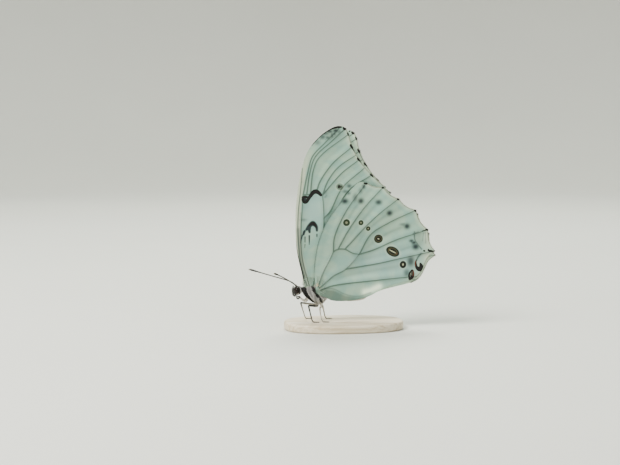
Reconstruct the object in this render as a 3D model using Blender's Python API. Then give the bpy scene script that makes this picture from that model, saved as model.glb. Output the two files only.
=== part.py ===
"""A white morpho butterfly at rest with its wings closed over its back, on a plain base.

Sizes are in millimetres until a mesh is made. +X runs from head to tail, +Y is the animal's
right side and +Z is up. Wing places are (behind, above): millimetres behind and above the
hinge, the point where the wings meet the thorax.
"""
import math

import bmesh
import bpy
from mathutils import Vector
from mathutils.geometry import delaunay_2d_cdt

METRES = 0.001

# Clearance between two pieces that meet.
GAP = 0.3

# Moves the animal along X so that the middle of the whole model's length is at X = 0.
ANIMAL_SHIFT = -0.563

# The base under the feet.
BASE_LENGTH = 44.0
BASE_WIDTH = 30.0
BASE_HEIGHT = 3.0
BASE_BEVEL = 0.5
BASE_SQUARENESS = 2.4
BASE_SIDES = 48

# The hinge of the wings. The soles stand 12.4 mm below it.
HINGE_X = -10.0
SOLE_TO_HINGE = 12.4
SOLE_Z = BASE_HEIGHT + GAP
HINGE_Z = SOLE_Z + SOLE_TO_HINGE

# Wing membranes and their veins.
WING_THICKNESS = 0.5
VEIN_HEIGHT = 0.2
VEIN_HALF_WIDTH = 0.45
VEIN_FADE = 2.5
MESH_STEP = 3.0
MESH_CLEARANCE = 1.35
ROW_SHARE = 0.866
EDGE_STEP = 2.4
SLOPE_STEP = 0.1

# The closed wings lie in layers: fore wings inside, hind wings outside.
FORE_OFFSET = 0.45
HIND_LAYER = 1.0
ROOT_SPREAD = 1.55
ROOT_REACH = 7.0
TIP_SPREAD = 1.0
FORE_LENGTH = 59.0

# The fold of the hind wings round the abdomen.
FOLD_START = 2.0
FOLD_LENGTH = 11.0
FOLD_SLOPE = 0.25
FOLD_TUCK = 0.35
FOLD_TUCK_DEPTH = 5.0
FOLD_FADE = (13.0, 30.0)
CLOSE_BEHIND_FORE = (2.5, 11.0)

# The right wings are drawn back and show past the left ones.
SWEEP = {"left": {"fore": 0.0, "hind": 0.0}, "right": {"fore": 3.6, "hind": 2.0}}
REACH = {"left": {"fore": 1.0, "hind": 1.0}, "right": {"fore": 0.985, "hind": 0.995}}

# Fore wing: leading edge from root to tip, vein ends along the outer edge, trailing edge.
FORE_LEADING = (
    (-4.1, 0.0), (-5.4, 5.9), (-7.0, 13.7), (-7.4, 21.0), (-7.2, 30.2), (-5.5, 42.0),
    (-2.9, 49.9), (1.5, 55.3), (6.3, 58.5), (9.3, 58.9), (11.0, 58.2),
)
FORE_VEIN_ENDS = ((12.1, 56.0), (13.5, 51.5), (16.1, 46.7), (20.9, 41.1), (26.0, 36.5))
FORE_TRAILING = ((26.0, 36.5), (23.0, 32.0), (13.4, 18.2), (5.2, 6.4), (0.6, 0.0))
FORE_SCALLOP = 0.05

FORE_VEINS = {
    "subcosta": ((-3.4, 0.5), (-5.6, 9.2), (-6.5, 18.0), (-6.5, 26.5), (-4.6, 40.9)),
    "radial_stem": ((-2.6, 0.5), (-4.9, 10.0), (-5.5, 19.0), (-4.7, 33.9)),
    "outer_radial": ((-4.7, 33.9), (-3.0, 42.0), (-1.2, 48.0), (3.3, 52.9), (8.6, 58.2)),
    "inner_radial": ((-3.4, 33.9), (-2.2, 42.0), (-0.1, 48.0), (5.6, 53.3), (11.0, 58.2)),
    "upper_median": ((-2.0, 34.1), (-0.9, 43.0), (2.2, 48.6), (12.1, 56.0)),
    "middle_median": ((0.3, 35.3), (1.9, 39.4), (6.4, 45.5), (13.5, 51.5)),
    "lower_median": ((2.5, 33.8), (4.5, 39.0), (8.6, 44.2), (15.1, 48.5)),
    "first_cubital": ((2.5, 33.8), (5.6, 37.4), (10.1, 42.2), (16.1, 46.7)),
    "second_cubital": ((3.0, 25.3), (5.6, 28.2), (10.0, 36.6), (18.3, 43.8)),
    "third_cubital": ((2.3, 18.0), (6.0, 24.9), (12.0, 35.2), (20.9, 41.1)),
    "cell_end": ((-4.7, 33.9), (-2.0, 34.1), (0.3, 35.3), (2.5, 33.8)),
    "cubital_stem": ((-1.1, 0.7), (2.3, 18.0), (3.0, 25.3), (2.5, 33.8)),
    "anal": ((-0.1, 0.7), (7.0, 12.8), (15.6, 25.2), (26.0, 36.5)),
}

# Hind wing: leading edge from root to shoulder, vein ends with the short tail, inner edge.
HIND_LEADING = (
    (-0.3, 0.2), (-0.8, 5.5), (-0.3, 11.0), (1.0, 17.0), (4.0, 24.1), (9.1, 31.2),
    (13.6, 36.5), (16.2, 38.4), (18.6, 38.2),
)
HIND_VEIN_ENDS = (
    (18.6, 38.2), (24.9, 36.6), (30.8, 32.2), (37.4, 27.9), (42.0, 20.6), (44.6, 12.6),
)
HIND_TAIL = ((44.6, 12.6), (42.2, 10.6), (40.8, 7.8), (39.6, 5.2), (38.0, 3.3), (35.8, 2.1))
HIND_INNER = (
    (35.8, 2.1), (25.4, -0.8), (20.5, -3.3), (15.4, -4.7), (10.0, -5.2), (5.8, -4.9),
    (3.6, -3.8),
)
HIND_ROOT = ((3.6, -3.8), (1.4, -3.0), (-0.2, -1.8), (-0.3, 0.2))
HIND_SCALLOP = 0.11

HIND_VEINS = {
    "cell_front": ((0.6, 0.2), (2.4, 5.2), (4.9, 9.8), (6.4, 13.0)),
    "radial": ((6.4, 13.0), (7.0, 19.0), (11.3, 28.2), (18.6, 38.2)),
    "cell_end": ((6.4, 13.0), (8.1, 13.8), (10.7, 13.8), (13.5, 12.4), (16.1, 11.8)),
    "upper_median": ((8.1, 13.8), (12.5, 21.6), (18.1, 29.3), (24.9, 36.6)),
    "middle_median": ((10.7, 13.8), (16.5, 20.1), (23.3, 26.6), (30.8, 32.2)),
    "lower_median": ((16.1, 11.8), (20.3, 19.0), (27.0, 23.2), (37.4, 27.9)),
    "first_cubital": ((16.1, 11.8), (22.0, 13.5), (30.0, 16.9), (42.0, 20.6)),
    "cubital_stem": ((1.0, -0.2), (6.2, 4.0), (11.0, 6.5), (16.1, 11.8)),
    "second_cubital": ((11.0, 6.5), (22.4, 8.1), (33.6, 10.4), (44.6, 12.6)),
    "anal": ((1.6, -0.9), (8.0, 0.9), (24.0, 2.2), (38.0, 3.3)),
}

# Body sections along X: (behind, above, half width, half height), flat where two parts meet.
THORAX = (
    (-4.8, -1.1, 0.9, 0.95), (-4.3, -1.3, 1.6, 1.4), (-3.6, -1.6, 2.3, 1.95),
    (-2.2, -2.15, 3.0, 2.7), (-0.6, -2.6, 3.35, 3.3), (1.2, -2.85, 3.3, 3.45),
    (2.6, -2.95, 2.8, 3.1), (3.4, -2.9, 2.1, 2.4), (3.9, -2.85, 1.5, 1.6),
)
THORAX_SQUARENESS = 2.5
THORAX_SIDES = 24
DOME_HALF_WIDTH = 1.45
SHOULDER_DROP = 0.3
HIND_SEAT_HALF_WIDTH = 2.45
HIND_SEAT_FRONT = -0.6
HIND_SEAT_FLOOR = -4.2
CUTTER_REACH = 20.0

HEAD = (
    (-8.0, -1.45, 0.4, 0.6), (-7.75, -1.4, 0.8, 1.1), (-7.2, -1.35, 1.15, 1.5),
    (-6.3, -1.3, 1.2, 1.6), (-5.6, -1.2, 1.1, 1.35), (-5.1, -1.1, 0.9, 0.95),
)
HEAD_SQUARENESS = 3.2
BODY_SIDES = 20
EYE_CENTRE = (-6.95, -1.15)
EYE_RADII = (1.0, 1.3)
EYE_BULGE = 0.95
EYE_LEVELS = (0.0, 0.35, 0.65, 0.87, 0.97)
EYE_SIDES = 16

ABDOMEN = (
    (4.2, -2.85, 1.5), (6.0, -3.0, 2.1), (9.0, -3.15, 2.3), (12.5, -3.4, 2.25),
    (15.5, -3.6, 1.95), (17.8, -3.75, 1.4), (19.2, -3.8, 0.7),
)
ABDOMEN_SQUARENESS = 2.1
ABDOMEN_DEPTH_TO_WIDTH = 1.02
ABDOMEN_RINGS = 8
RING_GROOVE = 0.1
RING_START = 2.0

# Feelers and legs: world points (x, y, height over the soles) with the radius at each.
TUBE_SIDES = 8
ANTENNA_RADIUS = 0.25
CLUB_RADIUS = 0.36
ANTENNA_STEP = 1.1
CLUB_RISE = (0.72, 0.92)
CLUB_END = (0.93, 1.0)
ANTENNAE = {
    "right": ((-17.2, 0.65, 13.0), (-19.5, 2.2, 14.4), (-26.1, 5.4, 16.2), (-33.8, 9.0, 18.3)),
    "left": ((-17.2, -0.65, 13.0), (-20.0, -4.2, 15.0), (-24.2, -9.2, 17.6), (-27.0, -13.8, 19.1)),
}
PALP = (
    (-17.5, 0.4, 9.42, 0.26), (-17.75, 0.42, 9.05, 0.28), (-18.35, 0.46, 9.4, 0.3),
    (-18.66, 0.45, 10.6, 0.28), (-18.66, 0.42, 11.8, 0.26), (-18.5, 0.38, 12.7, 0.2),
)
COIL_CENTRE = (-16.4, 8.45)
COIL_RADIUS = 0.45
COIL_TUBE = 0.25
COIL_TURN = 235.0
COIL_STEPS = 9
COIL_TOP = 9.2

LEGS = {
    "foreleg_left": (
        (-13.1, -0.9, 7.75, 0.3), (-13.4, -1.05, 7.3, 0.33), (-14.4, -1.3, 7.4, 0.33),
        (-15.3, -1.2, 8.1, 0.28), (-15.8, -1.0, 8.8, 0.2),
    ),
    "foreleg_right": (
        (-13.1, 0.9, 7.75, 0.3), (-13.4, 1.05, 7.25, 0.33), (-14.3, 1.3, 7.3, 0.33),
        (-15.2, 1.2, 7.9, 0.28), (-15.7, 1.0, 8.6, 0.2),
    ),
    "midleg_left": (
        (-9.3, -1.3, 5.92, 0.42), (-9.45, -1.6, 5.4, 0.42), (-11.3, -2.8, 5.65, 0.42),
        (-13.1, -3.6, 5.9, 0.3), (-12.5, -4.2, 3.2, 0.27), (-12.0, -4.6, 1.0, 0.25),
        (-11.4, -4.8, 0.25, 0.25), (-9.4, -5.3, 0.25, 0.25),
    ),
    "midleg_right": (
        (-9.3, 1.3, 5.92, 0.42), (-9.5, 1.6, 5.4, 0.42), (-12.4, 2.8, 5.8, 0.42),
        (-15.0, 3.6, 6.1, 0.3), (-14.1, 4.4, 3.3, 0.27), (-13.3, 4.9, 1.0, 0.25),
        (-12.7, 5.1, 0.25, 0.25), (-10.7, 5.5, 0.25, 0.25),
    ),
    "hindleg_left": (
        (-7.9, -1.4, 6.0, 0.42), (-8.0, -1.65, 5.5, 0.42), (-8.8, -3.4, 4.9, 0.36),
        (-8.7, -4.2, 2.6, 0.28), (-8.3, -4.5, 0.9, 0.25), (-7.7, -4.6, 0.25, 0.25),
        (-5.8, -4.9, 0.25, 0.25),
    ),
    "hindleg_right": (
        (-7.9, 1.4, 6.0, 0.42), (-7.85, 1.65, 5.5, 0.42), (-6.9, 3.6, 5.1, 0.36),
        (-6.2, 4.3, 2.7, 0.28), (-5.8, 4.6, 0.9, 0.25), (-5.2, 4.7, 0.25, 0.25),
        (-3.3, 5.0, 0.25, 0.25),
    ),
}

# Colours of the real surfaces, linear red, green and blue, with roughness.
PEARL_WHITE = ((0.55, 0.62, 0.55), 0.5)
WARM_WHITE = ((0.50, 0.48, 0.44), 0.7)
DARK_BROWN = ((0.020, 0.014, 0.010), 0.55)
EYE_BROWN = ((0.012, 0.007, 0.005), 0.2)
LEG_GREY = ((0.060, 0.052, 0.042), 0.6)
PLASTER = ((0.60, 0.58, 0.54), 0.75)


def smooth(value, low, high):
    """0 below low, 1 above high, with a soft step between."""
    share = min(1.0, max(0.0, (value - low) / (high - low)))
    return share * share * (3.0 - 2.0 * share)


def spline(points, step):
    """Points about one step apart on a smooth curve through the given ones."""
    knots = [Vector(p) for p in points]
    knots = [2 * knots[0] - knots[1]] + knots + [2 * knots[-1] - knots[-2]]
    path = [knots[1]]
    for before, start, end, after in zip(knots, knots[1:], knots[2:], knots[3:]):
        pieces = max(1, round((end - start).length / step))
        for i in range(1, pieces + 1):
            t = i / pieces
            path.append(0.5 * (
                2 * start + (end - before) * t
                + (2 * before - 5 * start + 4 * end - after) * t ** 2
                + (3 * start - before - 3 * end + after) * t ** 3
            ))
    return path


def scallop(start, end, depth, step):
    """A shallow arc that dips to the right of its run by depth times its length."""
    start, end = Vector(start), Vector(end)
    chord = end - start
    dip = Vector((chord.y, -chord.x)) * depth
    pieces = max(2, round(chord.length / step))
    shares = [i / pieces for i in range(pieces + 1)]
    return [start + chord * t + dip * 4 * t * (1 - t) for t in shares]


def joined(paths):
    """One closed loop from paths that follow on from each other."""
    loop = []
    for path in paths:
        loop.extend(path[:-1])
    return loop


def material(name, look):
    """A plain finish from a (colour, roughness) pair."""
    colour, roughness = look
    made = bpy.data.materials.new(name)
    made.use_nodes = True
    shader = made.node_tree.nodes["Principled BSDF"]
    shader.inputs["Base Color"].default_value = (*colour, 1.0)
    shader.inputs["Roughness"].default_value = roughness
    made.diffuse_color = (*colour, 1.0)
    return made


def add_object(name, mesh_data, look, sharp_angle=40.0):
    """A named object from a bmesh in millimetres, moved with the animal."""
    bmesh.ops.translate(mesh_data, vec=(ANIMAL_SHIFT, 0, 0), verts=mesh_data.verts)
    bmesh.ops.scale(mesh_data, vec=(METRES,) * 3, verts=mesh_data.verts)
    mesh = bpy.data.meshes.new(name)
    mesh_data.to_mesh(mesh)
    mesh_data.free()
    mesh.shade_smooth()
    mesh.set_sharp_from_angle(angle=math.radians(sharp_angle))
    made = bpy.data.objects.new(name, mesh)
    made.data.materials.append(material(name + "_finish", look))
    bpy.context.collection.objects.link(made)
    return made


def skin_rings(rings):
    """A closed bmesh over rings of points, with a flat cap at each end."""
    mesh_data = bmesh.new()
    loops = [[mesh_data.verts.new(p) for p in ring] for ring in rings]
    for near, far in zip(loops, loops[1:]):
        for i in range(len(near)):
            j = (i + 1) % len(near)
            mesh_data.faces.new((near[i], near[j], far[j], far[i]))
    mesh_data.faces.new(reversed(loops[0]))
    mesh_data.faces.new(loops[-1])
    bmesh.ops.recalc_face_normals(mesh_data, faces=mesh_data.faces)
    return mesh_data


def oval(half_width, half_height, squareness, sides):
    """Points round an oval, from a plain ellipse (squareness 2) to nearly a box."""
    points = []
    for i in range(sides):
        angle = 2 * math.pi * i / sides
        c, s = math.cos(angle), math.sin(angle)
        across = math.copysign(abs(c) ** (2 / squareness), c) * half_width
        up = math.copysign(abs(s) ** (2 / squareness), s) * half_height
        points.append((across, up))
    return points


def loft_body(rows, squareness, sides):
    """A body part through sections (behind, above, half width, half height)."""
    rings = []
    for behind, above, half_width, half_height in rows:
        x, z = HINGE_X + behind, HINGE_Z + above
        ring = oval(half_width, half_height, squareness, sides)
        rings.append([(x, across, z + up) for across, up in ring])
    return skin_rings(rings)


def tube(path, radii, sides):
    """A tube along a path, mitred at each corner, with flat ends."""
    rings = []
    across = None
    for i, point in enumerate(path):
        before = (point - path[i - 1]).normalized() if i else None
        after = (path[i + 1] - point).normalized() if i + 1 < len(path) else None
        along = ((before or after) + (after or before)).normalized()
        run = before or after
        if across is None:
            across = run.orthogonal().normalized()
        across = (across - run * across.dot(run)).normalized()
        other = run.cross(across)
        ring = []
        for k in range(sides):
            angle = 2 * math.pi * k / sides
            offset = (across * math.cos(angle) + other * math.sin(angle)) * radii[i]
            slide = -offset.dot(along) / run.dot(along)
            ring.append(point + offset + run * slide)
        rings.append(ring)
        if after:
            across = (across - after * across.dot(after)).normalized()
    return skin_rings(rings)


def box(low, high):
    """A closed bmesh box between two corners."""
    mesh_data = bmesh.new()
    bmesh.ops.create_cube(mesh_data, size=1.0)
    centre = [(a + b) / 2 for a, b in zip(low, high)]
    bmesh.ops.scale(mesh_data, vec=[b - a for a, b in zip(low, high)], verts=mesh_data.verts)
    bmesh.ops.translate(mesh_data, vec=centre, verts=mesh_data.verts)
    return mesh_data


def cut(piece, cutters):
    """Cut the cutters from the piece and remove them."""
    for cutter in cutters:
        cutter.hide_render = True
        cutter.display_type = "WIRE"
        step = piece.modifiers.new("cut", "BOOLEAN")
        step.operation = "DIFFERENCE"
        step.object = cutter
    evaluated = piece.evaluated_get(bpy.context.evaluated_depsgraph_get())
    mesh = bpy.data.meshes.new_from_object(evaluated)
    piece.modifiers.clear()
    piece.data = mesh
    for cutter in cutters:
        bpy.data.objects.remove(cutter)


def fold_line(behind):
    """Height of the crease where a hind wing is widest round the abdomen."""
    return -FOLD_SLOPE * min(FOLD_LENGTH, max(0.0, behind - FOLD_START))


def root_bulge(behind, above):
    """How far the wings stand out round the body: 1 at the body, 0 where they close."""
    height = above - fold_line(behind)
    if height >= 0:
        bulge = math.exp(-(height / ROOT_REACH) ** 2)
    else:
        bulge = 1.0 - FOLD_TUCK * min(1.0, -height / FOLD_TUCK_DEPTH) ** 1.5
    return bulge * (1.0 - smooth(behind, *FOLD_FADE))


def wing_offset(pair, behind, above):
    """Distance of a wing's middle surface from the animal's plane of symmetry."""
    bulge = root_bulge(behind, above)
    offset = FORE_OFFSET + ROOT_SPREAD * bulge
    offset += TIP_SPREAD * (max(0.0, above) / FORE_LENGTH) ** 2
    if pair == "hind":
        corner = Vector(FORE_VEIN_ENDS[-1])
        past_fore = (behind * corner.y - above * corner.x) / corner.length
        closed = smooth(past_fore, *CLOSE_BEHIND_FORE) * (1.0 - bulge)
        offset += HIND_LAYER * (1.0 - closed)
    return offset


def place_on_wing(pair, side, point):
    """World X and Z of a wing's (behind, above) point, with the side's sweep."""
    turn = math.radians(SWEEP[side][pair])
    behind, above = point[0], point[1] * REACH[side][pair]
    x = behind * math.cos(turn) + above * math.sin(turn)
    z = above * math.cos(turn) - behind * math.sin(turn)
    return x, z


def nearest(point, path):
    """Distance from a point to a path of straight pieces."""
    best = 1e9
    for start, end in zip(path, path[1:]):
        run = end - start
        share = min(1.0, max(0.0, (point - start).dot(run) / run.length_squared))
        best = min(best, (point - start - run * share).length)
    return best


def inside(point, loop):
    """Whether a point is inside a closed loop."""
    count = 0
    for start, end in zip(loop, loop[1:] + loop[:1]):
        if (start.y > point.y) != (end.y > point.y):
            x = start.x + (point.y - start.y) * (end.x - start.x) / (end.y - start.y)
            count += x > point.x
    return count % 2 == 1


def wing_pattern(loop, veins):
    """Flat triangles of a wing with points along every vein, and each point's ridge height."""
    rim = loop + loop[:1]
    points = list(loop)
    edges = [(i, (i + 1) % len(loop)) for i in range(len(loop))]
    for name, path in veins.items():
        others = [p for n, p in veins.items() if n != name]
        previous = {}
        for i, point in enumerate(path):
            run = (path[min(i + 1, len(path) - 1)] - path[max(i - 1, 0)]).normalized()
            normal = Vector((-run.y, run.x))
            for lane in (0, 1, -1):
                spot = point + normal * VEIN_HALF_WIDTH * lane
                clear = nearest(spot, rim) > VEIN_HALF_WIDTH and inside(spot, loop)
                if lane:
                    clear = clear and all(nearest(spot, p) > VEIN_HALF_WIDTH for p in others)
                if not clear and (lane or not inside(spot, loop)):
                    previous.pop(lane, None)
                    continue
                points.append(spot)
                if lane in previous:
                    edges.append((previous[lane], len(points) - 1))
                previous[lane] = len(points) - 1
    low = Vector((min(p.x for p in loop), min(p.y for p in loop)))
    high = Vector((max(p.x for p in loop), max(p.y for p in loop)))
    row_step = MESH_STEP * ROW_SHARE
    rows = int((high.y - low.y) / row_step) + 1
    columns = int((high.x - low.x) / MESH_STEP) + 2
    for row in range(rows):
        for column in range(columns):
            shift = 0.5 * (row % 2)
            spot = low + Vector(((column + shift) * MESH_STEP, row * row_step))
            if not inside(spot, loop) or nearest(spot, rim) < MESH_CLEARANCE:
                continue
            if all(nearest(spot, path) > MESH_CLEARANCE for path in veins.values()):
                points.append(spot)
    made = delaunay_2d_cdt(points, edges, [list(range(len(loop)))], 1, 0.01)
    heights = []
    for point in made[0]:
        distance = min(nearest(point, path) for path in veins.values())
        ridge = max(0.0, 1.0 - distance / VEIN_HALF_WIDTH)
        heights.append(ridge * smooth(nearest(point, rim), 0.0, VEIN_FADE))
    return made[0], made[2], heights


def wing(pair, side, loop, vein_table):
    """One wing: a membrane of even thickness with its veins raised on the outer face."""
    veins = {name: spline(points, EDGE_STEP) for name, points in vein_table.items()}
    flat, triangles, ridges = wing_pattern(loop, veins)
    sign = 1 if side == "right" else -1
    mesh_data = bmesh.new()
    outer, inner = [], []
    for point, ridge in zip(flat, ridges):
        x, z = place_on_wing(pair, side, point)
        middle = wing_offset(pair, x, z)
        rise = wing_offset(pair, x, z + SLOPE_STEP) - wing_offset(pair, x, z - SLOPE_STEP)
        half = WING_THICKNESS / 2 * math.hypot(1.0, rise / (2 * SLOPE_STEP))
        place = (HINGE_X + x, HINGE_Z + z)
        outward = sign * (middle + half + ridge * VEIN_HEIGHT)
        outer.append(mesh_data.verts.new((place[0], outward, place[1])))
        inner.append(mesh_data.verts.new((place[0], sign * (middle - half), place[1])))
    sides = []
    for triangle in triangles:
        mesh_data.faces.new([outer[i] for i in triangle])
        mesh_data.faces.new([inner[i] for i in reversed(triangle)])
        sides.extend(zip(triangle, triangle[1:] + triangle[:1]))
    shared = set(sides)
    for a, b in sides:
        if (b, a) not in shared:
            mesh_data.faces.new((outer[b], outer[a], inner[a], inner[b]))
    bmesh.ops.recalc_face_normals(mesh_data, faces=mesh_data.faces)
    return add_object(f"{pair}wing_{side}", mesh_data, PEARL_WHITE, 60.0)


def fore_loop():
    """Outline of a fore wing, from the root round by the tip."""
    paths = [spline(FORE_LEADING, EDGE_STEP)]
    ends = (FORE_LEADING[-1],) + FORE_VEIN_ENDS
    for start, end in zip(ends, ends[1:]):
        paths.append(scallop(start, end, FORE_SCALLOP, EDGE_STEP))
    paths.append(spline(FORE_TRAILING, EDGE_STEP))
    paths.append([Vector(FORE_TRAILING[-1]), Vector(FORE_LEADING[0])])
    return joined(paths)


def hind_loop():
    """Outline of a hind wing, from the root round by the shoulder and the tail."""
    paths = [spline(HIND_LEADING, EDGE_STEP)]
    for start, end in zip(HIND_VEIN_ENDS, HIND_VEIN_ENDS[1:]):
        paths.append(scallop(start, end, HIND_SCALLOP, EDGE_STEP))
    paths.append(spline(HIND_TAIL, EDGE_STEP))
    paths.append(spline(HIND_INNER, EDGE_STEP))
    paths.append(spline(HIND_ROOT, EDGE_STEP))
    return joined(paths)


def make_thorax():
    """The thorax, with a low dome between the wings and flat seats for their roots."""
    form = loft_body(spline(THORAX, 0.8), THORAX_SQUARENESS, THORAX_SIDES)
    thorax = add_object("thorax", form, WARM_WHITE)
    reach = CUTTER_REACH
    shoulder = HINGE_Z - SHOULDER_DROP
    front, floor = HINGE_X + HIND_SEAT_FRONT, HINGE_Z + HIND_SEAT_FLOOR
    cutters = []
    for sign in (1, -1):
        low, high = sorted((sign * DOME_HALF_WIDTH, sign * reach))
        cutters.append(box((HINGE_X - reach, low, shoulder), (reach, high, shoulder + reach)))
        low, high = sorted((sign * HIND_SEAT_HALF_WIDTH, sign * reach))
        cutters.append(box((front, low, floor), (reach, high, floor + reach)))
    cut(thorax, [add_object("cutter", shape, PLASTER) for shape in cutters])


def make_head():
    """The head, with a domed eye on each side."""
    form = loft_body(spline(HEAD, 0.6), HEAD_SQUARENESS, BODY_SIDES)
    add_object("head", form, DARK_BROWN)
    head_side = max(row[2] for row in HEAD)
    for side, sign in (("left", -1), ("right", 1)):
        rings = []
        for level in EYE_LEVELS:
            shrink = math.sqrt(1 - level ** 2)
            ring = oval(EYE_RADII[0] * shrink, EYE_RADII[1] * shrink, 2.0, EYE_SIDES)
            y = sign * (head_side + GAP + EYE_BULGE * level)
            x, z = HINGE_X + EYE_CENTRE[0], HINGE_Z + EYE_CENTRE[1]
            rings.append([(x + across, y, z + up) for across, up in ring])
        add_object(f"eye_{side}", skin_rings(rings), EYE_BROWN)


def make_palps_and_coil():
    """The two palps before the face, and the coiled feeding tube between them."""
    for side, sign in (("left", -1), ("right", 1)):
        path = [Vector((x, sign * y, SOLE_Z + z)) for x, y, z, _ in PALP]
        form = tube(path, [row[3] for row in PALP], TUBE_SIDES)
        add_object(f"palp_{side}", form, LEG_GREY)
    path = [Vector((COIL_CENTRE[0] - COIL_RADIUS, 0.0, SOLE_Z + COIL_TOP))]
    for i in range(COIL_STEPS + 1):
        angle = math.radians(180 + COIL_TURN * i / COIL_STEPS)
        path.append(Vector((
            COIL_CENTRE[0] + COIL_RADIUS * math.cos(angle), 0.0,
            SOLE_Z + COIL_CENTRE[1] + COIL_RADIUS * math.sin(angle),
        )))
    add_object("proboscis", tube(path, [COIL_TUBE] * len(path), TUBE_SIDES), DARK_BROWN)


def make_abdomen():
    """The abdomen, grooved round between its rings."""
    start, end = ABDOMEN[0][0], ABDOMEN[-1][0]
    rows = []
    for behind, above, half_width in spline(ABDOMEN, 0.6):
        ring = (behind - start) / (end - start) * ABDOMEN_RINGS
        depth = RING_GROOVE * max(0.0, math.cos(2 * math.pi * ring)) ** 3
        depth *= smooth(behind, start, start + RING_START)
        half_height = half_width * ABDOMEN_DEPTH_TO_WIDTH
        rows.append((behind, above, half_width - depth, half_height - depth))
    add_object("abdomen", loft_body(rows, ABDOMEN_SQUARENESS, BODY_SIDES), WARM_WHITE)


def make_antennae():
    """The feelers, thin to a slight club at the end."""
    for side, points in ANTENNAE.items():
        path = spline([(x, y, SOLE_Z + z) for x, y, z in points], ANTENNA_STEP)
        last = len(path) - 1
        radii = []
        for i in range(len(path)):
            club = smooth(i / last, *CLUB_RISE)
            tip = 1.0 - 0.5 * smooth(i / last, *CLUB_END)
            radii.append((ANTENNA_RADIUS + (CLUB_RADIUS - ANTENNA_RADIUS) * club) * tip)
        add_object(f"antenna_{side}", tube(path, radii, TUBE_SIDES), DARK_BROWN)


def make_legs():
    """The tucked short fore legs and the four legs that stand."""
    for name, rows in LEGS.items():
        path = [Vector((x, y, SOLE_Z + z)) for x, y, z, _ in rows]
        add_object(name, tube(path, [row[3] for row in rows], TUBE_SIDES), LEG_GREY)


def make_base():
    """A plain oval slab with eased edges."""
    levels = (
        (0.0, BASE_BEVEL), (BASE_BEVEL, 0.0), (BASE_HEIGHT - BASE_BEVEL, 0.0),
        (BASE_HEIGHT, BASE_BEVEL),
    )
    rings = []
    for height, inset in levels:
        half_length, half_width = BASE_LENGTH / 2 - inset, BASE_WIDTH / 2 - inset
        ring = oval(half_length, half_width, BASE_SQUARENESS, BASE_SIDES)
        rings.append([(x - ANIMAL_SHIFT, y, height) for x, y in ring])
    add_object("stand_base", skin_rings(rings), PLASTER, 30.0)


def main():
    for leftover in list(bpy.data.objects):
        bpy.data.objects.remove(leftover)
    make_base()
    make_thorax()
    make_head()
    make_palps_and_coil()
    make_abdomen()
    make_antennae()
    make_legs()
    for side in ("left", "right"):
        wing("fore", side, fore_loop(), FORE_VEINS)
        wing("hind", side, hind_loop(), HIND_VEINS)


main()
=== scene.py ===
"""The looks of a white morpho butterfly at rest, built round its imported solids.

Lengths in the tables are millimetres. Wing places are (behind, above): millimetres behind and
above the hinge, where the wings meet the thorax. +X runs from head to tail, +Y is the animal's
right side and +Z is up.
"""

import math

import bpy
import numpy as np
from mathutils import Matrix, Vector
from mathutils.geometry import delaunay_2d_cdt


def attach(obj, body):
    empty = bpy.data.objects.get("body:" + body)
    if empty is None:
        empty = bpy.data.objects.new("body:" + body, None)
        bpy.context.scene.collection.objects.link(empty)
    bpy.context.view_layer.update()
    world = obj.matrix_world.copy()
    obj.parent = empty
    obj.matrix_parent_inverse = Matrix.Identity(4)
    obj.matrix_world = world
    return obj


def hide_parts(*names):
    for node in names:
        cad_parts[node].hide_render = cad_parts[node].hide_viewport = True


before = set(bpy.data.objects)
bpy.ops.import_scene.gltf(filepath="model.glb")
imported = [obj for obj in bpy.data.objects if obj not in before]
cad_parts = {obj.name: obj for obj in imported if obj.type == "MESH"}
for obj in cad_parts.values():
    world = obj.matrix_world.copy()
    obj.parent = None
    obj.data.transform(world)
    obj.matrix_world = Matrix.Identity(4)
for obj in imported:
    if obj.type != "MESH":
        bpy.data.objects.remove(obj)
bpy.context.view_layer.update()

bl_info = {
    "name": "White Morpho Butterfly",
    "version": (1, 0, 0),
    "blender": (4, 5, 0),
    "location": "3D View > Sidebar > Morpho",
    "description": "Dresses the solids of a white morpho butterfly at rest on its base",
    "category": "Object",
}

MM = 0.001
SEED = 7
# Further away than any mark reaches.
FAR = 9.0
# Points that are measured at a time, so that the tables of distances stay small.
CHUNK = 4000
# Rows of a lattice of even triangles stand this share of its step apart.
ROW_SHARE = 0.866
# A rounded end: how far its ring stands out, as a share of a step, and how wide it is.
CAP_STEP = 0.3
CAP_WIDTH = 0.35

# The hinge of the wings, as in the solids. The animal's tables are moved along X by its shift.
ANIMAL_SHIFT = -0.563
HINGE_X = -10.0
BASE_TOP = 3.0
SOLE_Z = 3.3
HINGE_Z = 15.7

# How the closed wings lie: fore wings inside, hind wings outside, both standing out round the
# body and folded under it behind.
FORE_OFFSET = 0.45
HIND_LAYER = 1.0
ROOT_SPREAD = 1.55
ROOT_REACH = 7.0
TIP_SPREAD = 1.0
FORE_LENGTH = 59.0
FOLD_START = 2.0
FOLD_LENGTH = 11.0
FOLD_SLOPE = 0.25
FOLD_TUCK = 0.35
FOLD_TUCK_DEPTH = 5.0
FOLD_FADE = (13.0, 30.0)
CLOSE_BEHIND_FORE = (2.5, 11.0)
SWEEP = {"left": {"fore": 0.0, "hind": 0.0}, "right": {"fore": 3.6, "hind": 2.0}}
REACH = {"left": {"fore": 1.0, "hind": 1.0}, "right": {"fore": 0.985, "hind": 0.995}}
SIGN = {"left": -1.0, "right": 1.0}
# A wing's inner face is whiter: its ridges, grey and shade as shares of the outer face's, and
# its least cream. It has dark spots above the floor, no further in from the margin than this.
INNER_RIDGE = 0.3
INNER_GREY = 0.35
INNER_SHADE = 1.42
INNER_CREAM = 0.3
INNER_MARGIN = 2.2
INNER_FLOOR = 16.0
# The foot of a wing's membrane carries this many hairs, no further out than the reach.
ROOT_HAIRS = 420
ROOT_HAIR_REACH = 3.4
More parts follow.
